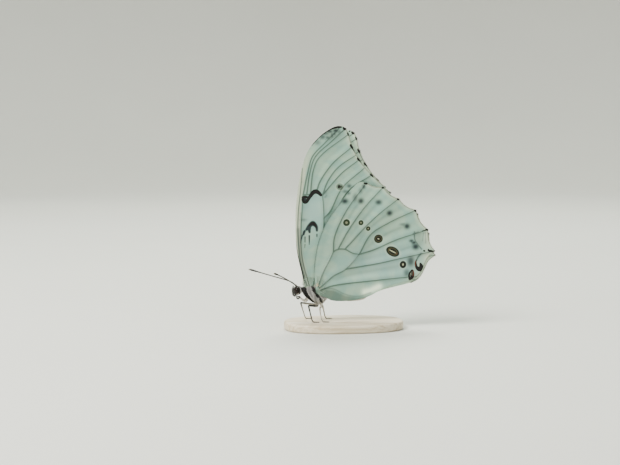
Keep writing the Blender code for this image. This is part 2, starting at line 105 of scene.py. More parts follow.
# Rows of the fringe: (how far inside the margin, length of its hair).
FRINGE_ROWS = ((0.16, 0.5), (0.28, 0.45))
# The bake square of the wings' hair starts this far before and under the hinge.
BAKE_CORNER = 10.0
BAKE_SPAN = 80.0

# Outlines of the wings, each as the solids have it.
FORE_LEADING = (
    (-4.1, 0.0), (-5.4, 5.9), (-7.0, 13.7), (-7.4, 21.0), (-7.2, 30.2), (-5.5, 42.0),
    (-2.9, 49.9), (1.5, 55.3), (6.3, 58.5), (9.3, 58.9), (11.0, 58.2),
)
FORE_VEIN_ENDS = ((11.0, 58.2), (12.1, 56.0), (13.5, 51.5), (16.1, 46.7), (20.9, 41.1), (26.0, 36.5))
FORE_TRAILING = ((26.0, 36.5), (23.0, 32.0), (13.4, 18.2), (5.2, 6.4), (0.6, 0.0))
HIND_LEADING = (
    (-0.3, 0.2), (-0.8, 5.5), (-0.3, 11.0), (1.0, 17.0), (4.0, 24.1), (9.1, 31.2),
    (13.6, 36.5), (16.2, 38.4), (18.6, 38.2),
)
HIND_VEIN_ENDS = (
    (18.6, 38.2), (24.9, 36.6), (30.8, 32.2), (37.4, 27.9), (42.0, 20.6), (44.6, 12.6),
)
HIND_TAIL = ((44.6, 12.6), (42.2, 10.6), (40.8, 7.8), (39.6, 5.2), (38.0, 3.3), (35.8, 2.1))
HIND_INNER = (
    (35.8, 2.1), (25.4, -0.8), (20.5, -3.3), (15.4, -4.7), (10.0, -5.2), (5.8, -4.9),
    (3.6, -3.8),
)
HIND_ROOT = ((3.6, -3.8), (1.4, -3.0), (-0.2, -1.8), (-0.3, 0.2))

LEADING = {"fore": FORE_LEADING, "hind": HIND_LEADING}
VEIN_ENDS = {"fore": FORE_VEIN_ENDS, "hind": HIND_VEIN_ENDS}
# How deep the margin dips between two veins, as a share of the way between them.
SCALLOPS = {"fore": 0.05, "hind": 0.11}

FORE_VEINS = (
    ((-3.4, 0.5), (-5.6, 9.2), (-6.5, 18.0), (-6.5, 26.5), (-5.6, 36.0), (-4.95, 43.6)),
    ((-2.6, 0.5), (-4.9, 10.0), (-5.5, 19.0), (-4.7, 33.9)),
    ((-4.7, 33.9), (-3.0, 42.0), (-1.2, 48.0), (3.3, 52.9), (8.6, 58.2)),
    ((-3.4, 33.9), (-2.2, 42.0), (-0.1, 48.0), (5.6, 53.3), (11.0, 58.2)),
    ((-2.0, 34.1), (-0.9, 43.0), (2.2, 48.6), (12.1, 56.0)),
    ((0.3, 35.3), (1.9, 39.4), (6.4, 45.5), (13.5, 51.5)),
    ((2.5, 33.8), (4.5, 39.0), (8.6, 44.2), (15.1, 48.5)),
    ((2.5, 33.8), (5.6, 37.4), (10.1, 42.2), (16.1, 46.7)),
    ((3.0, 25.3), (5.6, 28.2), (10.0, 36.6), (18.3, 43.8)),
    ((2.3, 18.0), (6.0, 24.9), (12.0, 35.2), (20.9, 41.1)),
    ((-4.7, 33.9), (-2.0, 34.1), (0.3, 35.3), (2.5, 33.8)),
    ((-1.1, 0.7), (2.3, 18.0), (3.0, 25.3), (2.5, 33.8)),
    ((-0.1, 0.7), (7.0, 12.8), (15.6, 25.2), (26.0, 36.5)),
)
HIND_VEINS = (
    ((0.6, 0.2), (2.4, 5.2), (4.9, 9.8), (6.4, 13.0)),
    ((6.4, 13.0), (7.0, 19.0), (11.3, 28.2), (18.6, 38.2)),
    ((6.4, 13.0), (8.1, 13.8), (10.7, 13.8), (13.5, 12.4), (16.1, 11.8)),
    ((8.1, 13.8), (12.5, 21.6), (18.1, 29.3), (24.9, 36.6)),
    ((10.7, 13.8), (16.5, 20.1), (23.3, 26.6), (30.8, 32.2)),
    ((16.1, 11.8), (20.3, 19.0), (27.0, 23.2), (37.4, 27.9)),
    ((16.1, 11.8), (22.0, 13.5), (30.0, 16.9), (42.0, 20.6)),
    ((1.0, -0.2), (6.2, 4.0), (11.0, 6.5), (16.1, 11.8)),
    ((11.0, 6.5), (22.4, 8.1), (33.6, 10.4), (44.6, 12.6)),
    ((1.6, -0.9), (8.0, 0.9), (24.0, 2.2), (38.0, 3.3)),
)
VEINS = {"fore": FORE_VEINS, "hind": HIND_VEINS}

# Dark marks as strokes of (behind, above, half width).
FORE_STROKES = (
    ((-4.8, 33.0, 0.44), (-4.0, 33.1, 0.5), (-3.2, 33.0, 0.44)),
    ((-4.65, 33.0, 0.5), (-4.7, 31.9, 0.52), (-4.1, 31.15, 0.52), (-3.35, 31.4, 0.62),
     (-2.75, 32.2, 0.6), (-1.9, 33.5, 0.66), (-0.9, 34.75, 0.76), (0.1, 35.1, 0.82),
     (1.1, 34.6, 0.7), (1.9, 33.75, 0.5)),
    ((-2.7, 22.2, 0.1), (-1.95, 22.95, 0.34), (-1.1, 23.45, 0.56), (-0.4, 23.0, 0.5),
     (0.2, 22.1, 0.24), (0.35, 21.4, 0.08)),
    ((8.55, 36.5, 0.32), (8.65, 37.0, 0.36)), ((9.3, 36.55, 0.16), (9.4, 37.0, 0.18)),
    ((-1.6, 51.8, 0.1), (0.6, 54.4, 0.24), (2.2, 56.0, 0.34), (4.2, 57.4, 0.42),
     (6.4, 58.4, 0.52), (8.0, 58.65, 0.5), (9.3, 58.6, 0.3)),
    ((10.3, 58.2, 0.5), (10.6, 57.9, 0.5)),
    ((12.0, 56.4, 0.62), (12.2, 55.9, 0.6)),
    ((13.1, 51.9, 0.66), (13.6, 50.9, 0.46), (14.4, 49.5, 0.16)),
    ((15.8, 47.0, 0.66), (16.6, 46.1, 0.46), (18.4, 44.1, 0.2)),
    ((20.6, 41.3, 0.62), (21.3, 40.6, 0.5)),
)
# Marks of the fore cell that are grey, not black.
FORE_WASHES = (
    ((-5.55, 16.4, 0.18), (-5.25, 18.0, 0.3), (-4.95, 19.0, 0.32)),
    ((-4.5, 19.4, 0.46), (-4.2, 20.3, 0.5), (-4.0, 20.6, 0.44)),
    ((-3.3, 21.2, 0.54), (-2.3, 22.4, 0.78), (-1.1, 23.4, 0.92), (-0.3, 22.9, 0.8),
     (0.35, 22.0, 0.58), (0.5, 20.7, 0.42)),
    ((-2.1, 22.0, 0.5), (-2.3, 20.9, 0.54), (-2.2, 20.2, 0.46)),
    ((-3.9, 18.4, 0.24), (-3.9, 16.5, 0.18)),
    ((-2.3, 18.8, 0.3), (-2.3, 17.2, 0.26), (-2.3, 15.6, 0.14)),
    ((0.5, 19.3, 0.26), (0.5, 18.5, 0.2)),
    ((-3.9, 15.7, 0.18), (-4.0, 14.5, 0.12)),
    ((-4.0, 32.1, 0.55), (-3.9, 32.2, 0.55)),
)
HIND_STROKES = (
    ((17.8, 38.0, 0.28), (18.7, 37.9, 0.42)),
    ((24.7, 36.4, 0.46), (24.9, 36.4, 0.46)),
    ((30.5, 32.1, 0.46), (30.7, 32.0, 0.46)),
    ((37.1, 27.8, 0.5), (37.3, 27.7, 0.5)),
    ((41.5, 20.7, 0.5), (41.9, 20.6, 0.5)),
    ((39.7, 20.1, 0.14), (41.4, 20.5, 0.2)),
    ((42.2, 13.2, 0.26), (42.4, 12.75, 0.36), (43.3, 12.6, 0.38), (44.3, 12.2, 0.34)),
    ((40.55, 12.75, 0.34), (40.7, 12.7, 0.34)),
    ((39.25, 7.9, 0.42), (39.5, 7.1, 0.78), (39.35, 6.3, 0.94), (38.8, 6.1, 0.9)),
    ((37.65, 9.4, 0.16), (37.5, 8.1, 0.36), (37.7, 6.9, 0.5), (38.4, 5.9, 0.62),
     (39.4, 5.7, 0.6), (40.1, 6.3, 0.44)),
    ((36.15, 5.2, 0.66), (35.9, 4.3, 1.08), (35.65, 3.2, 1.1), (35.4, 2.5, 0.74)),
)

# Soft grey marks: (behind, above, half length, half width, strength).
FORE_SHADOWS = (
    (5.0, 55.9, 3.4, 1.8, 0.3),
    (2.4, 55.0, 0.9, 0.7, 0.75), (3.4, 56.3, 1.3, 0.5, 0.75), (5.0, 57.0, 1.3, 0.5, 0.9),
    (5.9, 55.6, 0.5, 1.0, 0.75), (7.2, 57.3, 0.9, 0.6, 0.95), (4.3, 54.8, 0.7, 0.5, 0.75),
    (6.8, 56.2, 0.5, 0.6, 0.75), (8.6, 56.8, 0.5, 0.8, 0.6), (0.6, 53.0, 1.0, 0.8, 0.5),
    (11.0, 35.0, 0.9, 0.5, 0.6), (12.4, 37.0, 0.7, 0.6, 0.8), (8.7, 36.75, 0.6, 0.66, 1.0),
    (9.4, 36.8, 0.34, 0.5, 0.9),
    (3.5, 34.6, 0.7, 0.6, 0.3), (-4.6, 24.7, 1.1, 0.4, 0.5),
)
HIND_SHADOWS = (
    (10.6, 31.5, 1.15, 0.85, 1.0), (9.6, 32.2, 0.8, 0.4, 0.55), (11.8, 34.4, 0.75, 0.5, 0.75),
    (14.4, 32.8, 0.75, 1.3, 0.55), (16.4, 35.3, 0.6, 0.8, 0.5), (17.6, 36.8, 0.5, 0.65, 0.9),
    (16.6, 31.5, 0.95, 0.9, 0.95), (23.2, 31.0, 1.05, 0.8, 0.95), (27.4, 26.9, 1.0, 0.9, 1.0),
    (34.1, 21.9, 0.95, 0.9, 1.0), (34.2, 21.9, 0.6, 0.55, 1.0), (32.7, 22.6, 1.1, 0.45, 0.6),
    (35.8, 16.5, 0.75, 0.5, 1.0), (36.7, 15.8, 0.8, 0.6, 1.0), (37.4, 14.3, 1.15, 1.05, 1.0),
    (35.6, 8.9, 1.2, 1.6, 0.85), (34.1, 4.7, 1.0, 1.2, 0.7), (38.4, 17.3, 1.3, 2.4, 0.22),
)
# Fine soft lines: (path, half width, strength).
FORE_LINES = (
    (((-5.5, 27.3), (-5.5, 17.3), (-5.1, 11.1), (-4.7, 7.4), (-3.4, 3.7), (-2.9, 1.5)), 0.24, 0.34),
    (((-6.4, 21.0), (-5.9, 13.0), (-4.9, 7.0), (-3.7, 1.0)), 0.85, 0.48),
    (((5.0, 54.0), (10.6, 57.6)), 0.25, 0.45), (((3.4, 54.0), (8.4, 58.0)), 0.2, 0.5),
    (((1.6, 54.0), (5.6, 57.8)), 0.2, 0.45),
    (((3.5, 33.0), (4.0, 33.6)), 0.4, 0.4),
)
# The fold round the abdomen, with a painted highlight below it and painted shade under it.
HIND_FOLD = ((2.0, -0.3), (6.5, -0.7), (10.5, -2.6), (15.3, -3.5), (20.4, -2.4))
HIND_PAINTED_SHINE = ((18.0, -2.0), (20.8, -1.3), (23.6, -0.2))
# A shallow crease along the hind wing's rear: its path, depth and half width.
HIND_CREASE = ((8.0, 2.9), (11.8, 3.9), (19.6, 5.1), (27.3, 6.3), (35.0, 7.8))
CREASE_DEPTH = 0.24
CREASE_HALF_WIDTH = 0.8
# Painted light and shade of the hind wing's folds, the dark ray in the crease: (path, change of
# shade), and their half width.
HIND_PAINTED_RAYS = (
    (((5.5, 1.1), (12.8, 2.8), (20.2, 4.0), (29.3, 5.0), (34.0, 5.6)), 0.1),
    (HIND_CREASE, -0.07),
    (((24.0, 14.4), (30.0, 15.2), (36.0, 16.9)), 0.07),
    (((20.0, 24.6), (24.5, 28.0), (29.0, 30.6)), 0.06),
)
PAINTED_RAY_HALF_WIDTH = 0.9
# Fine soft lines of the hind wing, as the fore wing's. The line along the fold is painted shade.
HIND_LINES = (
    (((36.9, 19.8), (37.0, 17.2), (38.0, 15.4), (39.6, 13.4)), 0.3, 0.75),
    (((39.4, 11.7), (38.3, 10.4), (37.8, 9.3)), 0.36, 0.8),
    (((36.4, 19.2), (38.4, 19.8)), 0.26, 0.6), (((40.3, 19.4), (40.0, 16.4)), 0.2, 0.45),
    (((41.0, 19.6), (41.2, 15.6)), 0.22, 0.4), (HIND_FOLD, 0.26, 0.4),
    (((25.3, 18.6), (29.5, 20.6), (33.5, 22.0)), 0.5, 0.22),
    (((20.4, 22.0), (24.0, 24.8), (27.2, 26.8)), 0.45, 0.2),
    (((31.8, 13.0), (34.5, 13.9), (37.0, 14.5)), 0.4, 0.22),
    (((17.6, 24.6), (20.5, 28.2), (23.0, 30.8)), 0.45, 0.16),
    (((12.0, 24.8), (14.0, 28.4), (16.4, 31.4)), 0.45, 0.14),
)

# Painted light and shade of the folds between the veins, in streaks: their strength, the widths
# of a cell between which they fade in, and where they start from the hinge.
PAINTED_SATIN_STREAKS = 0.05
SATIN_CELL = (1.6, 3.5)
SATIN_START = {"fore": (33.0, 41.0), "hind": (14.0, 24.0)}
# The dark front edge of the fore wing's foot, and the grey line of painted shadow along the hind
# wing's front edge: half width, and the heights between which they fade in or out.
FORE_EDGE, FORE_EDGE_FADE = 0.42, (7.0, 19.0)
HIND_EDGE, HIND_EDGE_FADES = 0.34, ((2.0, 8.0), (31.0, 37.0))
HIND_EDGE_SHADOW = 0.75
# The painted highlight on the fold: half width, cream and tone. The painted shade under the fold:
# strength, height over which it grows, and the places behind the hinge between which it fades.
PAINTED_SHINE_HALF_WIDTH, PAINTED_SHINE_CREAM, PAINTED_SHINE_TONE = 1.3, 0.75, 0.7
PAINTED_UNDER_FOLD_SHADE, UNDER_FOLD_GROWTH, UNDER_FOLD_FADE = 0.42, (0.0, 0.9), (13.0, 26.0)
# Painted shade: how much darker a wing is near its hinge and beside a vein, and how far that
# reaches.
ROOT_SHADE, ROOT_SHADE_FADE = 0.07, (6.0, 20.0)
VEIN_SHADE, VEIN_SHADE_REACH = 0.15, 0.8
# The membrane sags from this far off a vein, and ripples: height, turns along, up and bending.
SAG_REACH = 1.6
RIPPLE_HEIGHT = 0.09
RIPPLE_ALONG, RIPPLE_UP, RIPPLE_BEND = 0.55, 0.31, 0.7
# Cream along the fore wing's front: its width from the edge, and the heights where it fades.
FORE_CREAM, FORE_CREAM_FADE = (1.3, 2.3), (40.0, 56.0)
# Soft ovals, (amount, (behind, above), (half length, half width)): cream, then a painted glow of
# light through the hind wing near its tip and a broad darker patch in its front half, then the
# bluer patch of each wing.
HIND_CREAMS = ((0.6, (41.7, 17.2), (1.6, 4.2)), (0.5, (41.6, 10.8), (1.8, 1.8)))
HIND_GLOW_AND_DARK_PATCHES = ((0.08, (25.0, 33.0), (8.0, 5.0)), (-0.13, (11.0, 20.0), (11.0, 12.0)))
COOL_PATCHES = {
    "fore": (0.55, (-1.0, 28.0), (4.5, 8.0)), "hind": (0.55, (27.0, 9.0), (14.0, 6.0)),
}
# These hind lines are narrow, so the mesh is finer along them, as it is between two veins that
# are nearer than the narrow cell's width.
NARROW_HIND_LINES = 6
NARROW_CELL = 1.5
VEIN_TAPER = 0.5
# Rows of points along the veins stay this far inside the rim, the middle one and the others.
# No other point is nearer to a row or to the rim than the room, as a share of its step.
ROW_ROOMS = (0.02, 0.12)
ROOM = 0.42
# The finer mesh reaches this far past strokes and past lines, in millimetres, and this many
# radii from an eyespot's middle.
STROKE_REACH = 0.35
LINE_REACH = 0.25
SPOT_REACH = 1.25
# A soft mark reaches past its own half sizes by the blur, and falls off by the power.
MARK_BLUR = 1.25
MARK_FALL = 1.4

# Eyespots: (behind, above, half length, half width, tilt in degrees, pale slit, ringed core).
# The slit is its half length and half width as shares of the spot's own. The core is -1 in a
# faint tan spot, 0 in a soft mossy one, 0.5 in a dark one and 1 in a dark one with a thin ring.
FORE_EYESPOTS = ((8.95, 36.75, 1.35, 1.25, 0.0, (0.0, 0.0), -1.0),)
HIND_EYESPOTS = (
    (11.3, 23.6, 1.27, 1.27, 0.0, (0.38, 0.38), 0.0),
    (16.7, 23.5, 0.96, 0.96, 0.0, (0.32, 0.32), 0.0),
    (19.4, 21.3, 0.86, 0.86, 0.0, (0.28, 0.34), 0.15),
    (23.4, 17.4, 1.66, 1.58, -20.0, (0.24, 0.15), 1.0),
    (28.8, 12.6, 2.68, 1.74, -28.0, (0.6, 0.12), 1.0),
    (32.7, 7.7, 1.24, 1.36, 0.0, (0.22, 0.34), 0.5),
)
EYESPOTS = {"fore": FORE_EYESPOTS, "hind": HIND_EYESPOTS}
# The inner corner's red lines and pale slits.
RED_STROKES = (
    ((37.5, 9.2, 0.12), (37.3, 8.0, 0.24), (37.35, 7.1, 0.18)),
    ((36.5, 5.4, 0.16), (36.65, 4.5, 0.26), (36.45, 3.5, 0.2)),
    ((30.0, 11.9, 0.12), (30.5, 11.65, 0.16)),
)
CREAM_STROKES = (
    ((38.35, 8.9, 0.12), (38.4, 7.9, 0.16), (38.65, 6.95, 0.14)),
    ((35.6, 4.7, 0.05), (35.45, 4.0, 0.08), (35.3, 3.2, 0.06)),
    ((36.1, 5.1, 0.03), (36.0, 4.2, 0.05), (35.9, 3.4, 0.03)),
    ((41.35, 12.85, 0.18), (41.5, 12.8, 0.18)),
)

# The cream tuft on the hind wings' foot: (behind, above).
CREAM_TUFT = (0.2, -0.1)

# Body sections along X inside the coat: (behind, above, half width, half height).
BODY_SKIN = (
    (-8.0, -1.45, 0.3, 0.5), (-7.7, -1.4, 0.75, 1.0), (-7.15, -1.35, 1.0, 1.32),
    (-6.3, -1.3, 1.08, 1.42), (-5.6, -1.2, 0.98, 1.2), (-5.1, -1.12, 0.8, 0.9),
    (-4.75, -1.12, 0.95, 0.98), (-4.3, -1.3, 1.4, 1.25), (-3.6, -1.6, 2.05, 1.75),
    (-2.2, -2.15, 2.75, 2.45), (-0.6, -2.6, 3.08, 3.05), (1.2, -2.85, 3.05, 3.2),
    (2.6, -2.95, 2.55, 2.85), (3.4, -2.9, 1.9, 2.2), (4.0, -2.87, 1.5, 1.6),
    (4.6, -2.9, 1.5, 1.55), (6.0, -3.0, 1.95, 1.98), (9.0, -3.15, 2.12, 2.15),
    (12.5, -3.4, 2.08, 2.1), (15.5, -3.6, 1.78, 1.8), (17.8, -3.75, 1.2, 1.22),
    (19.1, -3.8, 0.45, 0.45),
)
HEAD_END, THORAX_END = -5.0, 3.95
BODY_SIDES = 56
BODY_STEP = 0.22
# The least half width and height of a ring, at the skin's two ends.
BODY_END = 0.05
BODY_SQUARENESS = 2.3
# The length of an abdomen ring, the depth of the groove between two, and the first groove.
ABDOMEN_RING = 1.88
ABDOMEN_GROOVE = 0.09
FIRST_GROOVE = THORAX_END + 1.5
# The narrow dome of the back between the wings, and the heights between which it starts.
DOME_HALF_WIDTH = 1.3
DOME_EASE = (-0.9, -0.1)
# The hind wings' flat seats: half the width between them, where they start, and how low they
# reach.
SEAT_HALF_WIDTH = 2.25
SEAT_FRONT = -0.6
SEAT_FLOOR = -4.2
# No hair grows on the hind wings' seats: (from, to) behind the hinge, out across the body from
# this and above the floor. The face between the eyes keeps its hair.
BARE_SPAN = (-0.3, 3.5)
BARE_ACROSS = 1.9
BARE_FLOOR = -3.2
FACE_HALF_WIDTH = 0.6
# The shoulder plates: where they start and end, their heights, and their inner edge. Only the
# tufts that fall on them are kept of this many.
SHOULDER_SPAN = (-4.3, 0.4)
SHOULDER_HEIGHTS = (-1.3, -0.15)
SHOULDER_ACROSS = 1.7
SHOULDER_TRIES = 9000
# Hair of the head lies forward in front of its end, up above its middle and down below it.
HEAD_HAIR_END = -5.2
HEAD_MIDDLE = -1.3

# Marks of the body as strokes of (behind, above, half width), seen from the side: grey lines,
# buff patches and black stripes.
GREY_STRENGTH = 0.5
BODY_GREYS = (
    ((-3.3, 0.1, 0.4), (-2.9, -0.9, 0.5), (-2.4, -1.9, 0.4), (-1.9, -3.0, 0.24)),
    ((-1.3, -1.7, 0.18), (-0.9, -3.2, 0.26), (-0.5, -4.4, 0.32), (-0.3, -5.6, 0.26)),
    ((1.6, -2.2, 0.12), (2.4, -3.8, 0.14), (3.0, -5.4, 0.12)),
)
BODY_BUFFS = (
    ((-0.3, -0.2, 0.5), (0.4, -0.9, 0.6), (1.2, -1.7, 0.5)),
    ((-4.4, -2.4, 0.2), (-3.2, -4.2, 0.3), (-2.3, -5.2, 0.35), (-1.5, -6.1, 0.3)),
)
BODY_STRIPES = (
    ((-4.9, 0.3, 0.75), (-4.4, -1.2, 0.8), (-3.3, -3.0, 0.62), (-1.7, -4.9, 0.5),
     (-0.6, -6.3, 0.4)),
    ((-2.3, 0.2, 0.35), (-1.2, -1.0, 0.55), (-0.3, -1.9, 0.62), (0.5, -2.9, 0.5),
     (1.6, -5.0, 0.42), (2.3, -6.2, 0.3)),
    ((0.1, -2.6, 0.7), (0.6, -3.3, 0.6)),
    ((-6.05, 0.4, 0.2), (-5.9, -1.5, 0.24), (-6.0, -3.2, 0.3)),
    ((-7.9, -3.0, 0.5), (-6.6, -3.1, 0.42), (-5.6, -2.9, 0.3)),
    ((-8.1, 0.2, 0.6), (-8.1, -1.2, 0.6), (-8.1, -2.8, 0.6)),
    ((-7.9, 0.2, 0.55), (-6.6, 0.35, 0.5), (-5.2, 0.4, 0.4)),
)

EYE_PLACE = (-6.95, 1.12, -1.15)
EYE_RADII = (1.02, 1.3, 1.32)
EYE_ROWS, EYE_SIDES = 28, 48

# Feelers, palps and legs: places as in the solids, (X, Y, height over the soles).
ANTENNAE = {
    "right": ((-17.0, 0.55, 12.6), (-17.4, 0.75, 13.1), (-19.5, 2.2, 14.4),
              (-26.1, 5.4, 16.2), (-33.8, 9.0, 18.3)),
    "left": ((-17.0, -0.55, 12.6), (-17.5, -0.85, 13.15), (-20.0, -4.2, 15.0),
             (-24.2, -9.2, 17.6), (-27.0, -13.8, 19.1)),
}
LIMB_SIDES = 14
SHAFT_RADIUS = 0.19
CLUB_RADIUS = 0.33
# The thick first joint: how much thicker, how far along, and half its length.
JOINT_SWELL, JOINT_PLACE, JOINT_HALF_LENGTH = 0.16, 0.35, 0.32
# The shares of a feeler's length between which its club grows.
CLUB_GROWTH = (0.72, 0.93)
SEGMENT_LENGTH = 0.46
PALP = ((-17.3, 0.42, 9.75), (-17.6, 0.46, 9.15), (-18.1, 0.5, 9.45), (-18.36, 0.48, 10.5),
        (-18.38, 0.44, 11.7), (-18.2, 0.38, 12.65))
PALP_RADII = (0.18, 0.25, 0.3, 0.29, 0.24, 0.1)
# The stem's share of a palp's radius; the rest is hair.
PALP_STEM = 0.8
PALP_HAIRS = 620
COIL_CENTRE = (-16.4, 8.45)
COIL_RADII = (0.58, 0.2)
COIL_TURNS = 1.85
COIL_TUBE = 0.16
# The way from the mouth to the coil: (ahead of its centre, height over the soles).
COIL_LEAD = ((0.2, 10.0), (0.5, 9.1))
# Hair of the legs: (count, shortest, longest).
LEG_HAIRS = {"walking": (620, 0.12, 0.26), "short": (520, 0.3, 0.6)}
LEG_STEP = 0.12
# No hair of a foot grows nearer to the base than this.
HAIR_CLEARANCE = 0.45
# Each leg row: X, Y, height, radius, and how dark it is.
LEGS = {
    "midleg_left": (
        (-9.3, -1.2, 6.5, 0.5, 0.3), (-9.5, -1.7, 5.45, 0.42, 0.6), (-11.3, -2.8, 5.65, 0.4, 1.0),
        (-13.1, -3.6, 5.9, 0.27, 1.0), (-12.5, -4.2, 3.2, 0.22, 1.0), (-12.0, -4.6, 0.9, 0.2, 0.9),
        (-11.5, -4.8, -0.06, 0.19, 0.9), (-9.3, -5.3, -0.12, 0.14, 0.9),
    ),
    "midleg_right": (
        (-9.3, 1.2, 6.5, 0.5, 0.2), (-9.6, 1.7, 5.45, 0.42, 0.3), (-12.4, 2.8, 5.8, 0.38, 0.3),
        (-15.0, 3.6, 6.1, 0.27, 1.0), (-14.1, 4.4, 3.3, 0.2, 0.35), (-13.3, 4.9, 0.9, 0.18, 0.4),
        (-12.8, 5.1, -0.06, 0.18, 0.5), (-10.6, 5.5, -0.12, 0.14, 0.6),
    ),
    "hindleg_left": (
        (-7.9, -1.3, 6.6, 0.5, 0.1), (-8.0, -1.75, 5.5, 0.42, 0.1), (-8.8, -3.4, 4.9, 0.34, 0.2),
        (-8.7, -4.2, 2.6, 0.24, 0.15), (-8.3, -4.5, 0.8, 0.2, 0.3), (-7.8, -4.6, -0.06, 0.19, 0.6),
        (-5.7, -4.9, -0.12, 0.14, 0.7),
    ),
    "hindleg_right": (
        (-7.9, 1.3, 6.6, 0.5, 0.1), (-7.85, 1.75, 5.5, 0.42, 0.1), (-6.9, 3.6, 5.1, 0.34, 0.2),
        (-6.2, 4.3, 2.7, 0.24, 0.3), (-5.8, 4.6, 0.8, 0.2, 0.4), (-5.3, 4.7, -0.06, 0.19, 0.6),
        (-3.2, 5.0, -0.12, 0.14, 0.7),
    ),
    "foreleg_left": (
        (-13.1, -0.85, 8.3, 0.34, 0.0), (-13.4, -1.05, 7.35, 0.33, 0.0),
        (-14.4, -1.3, 7.4, 0.3, 0.0), (-15.3, -1.2, 8.1, 0.24, 0.1), (-15.85, -1.0, 8.85, 0.1, 0.9),
    ),
    "foreleg_right": (
        (-13.1, 0.85, 8.3, 0.34, 0.0), (-13.4, 1.05, 7.3, 0.33, 0.0),
        (-14.3, 1.3, 7.3, 0.3, 0.0), (-15.2, 1.2, 7.9, 0.24, 0.1), (-15.75, 1.0, 8.65, 0.1, 0.9),
    ),
}

BASE_LENGTH = 44.0
BASE_WIDTH = 30.0
BASE_EASE = 0.7
BASE_SQUARENESS = 2.4
BASE_SIDES = 160

# The camera stands where the photo's did: towards the head, a little above the wings' middle.
CAMERA_AIM = (-12.563, 0.0, 35.7)
CAMERA_AZIMUTH = -8.0
CAMERA_ELEVATION = 5.0
CAMERA_DISTANCE = 631.5
CAMERA_LENS = 100.0
SENSOR_WIDTH = 36.0

# The stage: a round floor that curves up into a wall on every side.
STAGE_RADIUS = 1250.0
STAGE_CURVE = 450.0
STAGE_WALL = 1300.0
STAGE_SIDES = 96
# Softboxes: name, azimuth and elevation in degrees, distance, side, power in watts, colour.
SOFTBOXES = (
    ("key_softbox", -62.0, 46.0, 900.0, 420.0, 11.0, "FFFDF8"),
    ("fill_softbox", 50.0, 26.0, 1000.0, 700.0, 1.8, "F4FAFF"),
    ("back_softbox", 165.0, 55.0, 900.0, 500.0, 7.0, "FAFFF6"),
)
AIR_COLOUR = "EDF3EE"
AIR_STRENGTH = 0.42

# Inputs of a colour Mix node.
MIX_A, MIX_B, MIX_OUT = 6, 7, 2


def linear(colour):
    """Linear red, green, blue and alpha of an sRGB hex colour."""
    channels = [int(colour[i:i + 2], 16) / 255 for i in (0, 2, 4)]
    bent = [c / 12.92 if c <= 0.04045 else ((c + 0.055) / 1.055) ** 2.4 for c in channels]
    return (*bent, 1.0)


def node(tree, kind, links=None, **settings):
    """Adds a shader node with its settings, and a value or a link for each named input."""
    made = tree.nodes.new("ShaderNode" + kind)
    for name, value in settings.items():
        setattr(made, name, value)
    for name, value in (links or {}).items():
        if isinstance(value, bpy.types.NodeSocket):
            tree.links.new(value, made.inputs[name])
        else:
            made.inputs[name].default_value = value
    return made


def new_material(name, finish):
    """A node material with the finish set on its surface: (material, tree, shader)."""
    made = bpy.data.materials.new(name)
    made.use_nodes = True
    tree = made.node_tree
    shader = tree.nodes["Principled BSDF"]
    for socket, value in finish.items():
        shader.inputs[socket].default_value = value
    return made, tree, shader


def ready(name, make, *settings):
    """A material that was made before, or a new one."""
    return bpy.data.materials.get(name) or make(name, *settings)


def smooth(value, low, high):
    """0 below low, 1 above high, with a soft step between."""
    share = np.clip((np.asarray(value, float) - low) / (high - low), 0.0, 1.0)
    return share * share * (3.0 - 2.0 * share)


def unit(vectors):
    """Vectors made one long."""
    return vectors / np.maximum(np.linalg.norm(vectors, axis=-1, keepdims=True), 1e-9)


def spline(points, step):
    """Points about one step apart on a smooth curve through the given ones."""
    knots = np.asarray(points, float)
    knots = np.vstack([2 * knots[0] - knots[1], knots, 2 * knots[-1] - knots[-2]])
    path = [knots[1]]
    for before, start, end, after in zip(knots, knots[1:], knots[2:], knots[3:]):
        pieces = max(1, round(float(np.linalg.norm((end - start)[:3])) / step))
        for i in range(1, pieces + 1):
            t = i / pieces
            path.append(0.5 * (
                2 * start + (end - before) * t
                + (2 * before - 5 * start + 4 * end - after) * t ** 2
                + (3 * start - before - 3 * end + after) * t ** 3
            ))
    return np.array(path)


def scallop(start, end, depth, step):
    """A shallow arc that dips to the right of its run by depth times its length."""
    start, end = np.array(start), np.array(end)
    chord = end - start
    dip = np.array((chord[1], -chord[0])) * depth
    pieces = max(2, round(float(np.linalg.norm(chord)) / step))
    share = np.linspace(0.0, 1.0, pieces + 1)[:, None]
    return start + chord * share + dip * 4 * share * (1 - share)


def to_path(points, path):
    """Each point's distance from a path, and the share of the path where it is nearest."""
    start, run = path[:-1], np.diff(path, axis=0)
    length = np.maximum((run * run).sum(-1), 1e-12)
    away, share = [], []
    for part in np.array_split(points, len(points) // CHUNK + 1):
        gap = part[:, None] - start
        along = np.clip((gap * run).sum(-1) / length, 0.0, 1.0)
        far = np.linalg.norm(gap - along[..., None] * run, axis=-1)
        place = far.argmin(1)
        rows = np.arange(len(part))
        away.append(far[rows, place])
        share.append((place + along[rows, place]) / len(run))
    return np.concatenate(away), np.concatenate(share)


def to_strokes(points, strokes):
    """Each point's distance from the edge of the nearest stroke, below 0 inside one."""
    best = np.full(len(points), FAR)
    for stroke in strokes:
        path = spline(stroke, 0.25)
        away, share = to_path(points, path[:, :2])
        half = np.interp(share * (len(path) - 1), np.arange(len(path)), path[:, 2])
        best = np.minimum(best, away - half)
    return best


def inside(points, loop):
    """Whether each point is inside a closed loop."""
    start, end = loop, np.roll(loop, -1, axis=0)
    rise = end[:, 1] - start[:, 1]
    rise = np.where(np.abs(rise) < 1e-12, 1e-12, rise)
    found = []
    for part in np.array_split(points, len(points) // CHUNK + 1):
        x, y = part[:, :1], part[:, 1:]
        spans = (start[:, 1] > y) != (end[:, 1] > y)
        at = start[:, 0] + (y - start[:, 1]) * (end[:, 0] - start[:, 0]) / rise
        found.append((spans & (at > x)).sum(1) % 2 == 1)
    return np.concatenate(found)


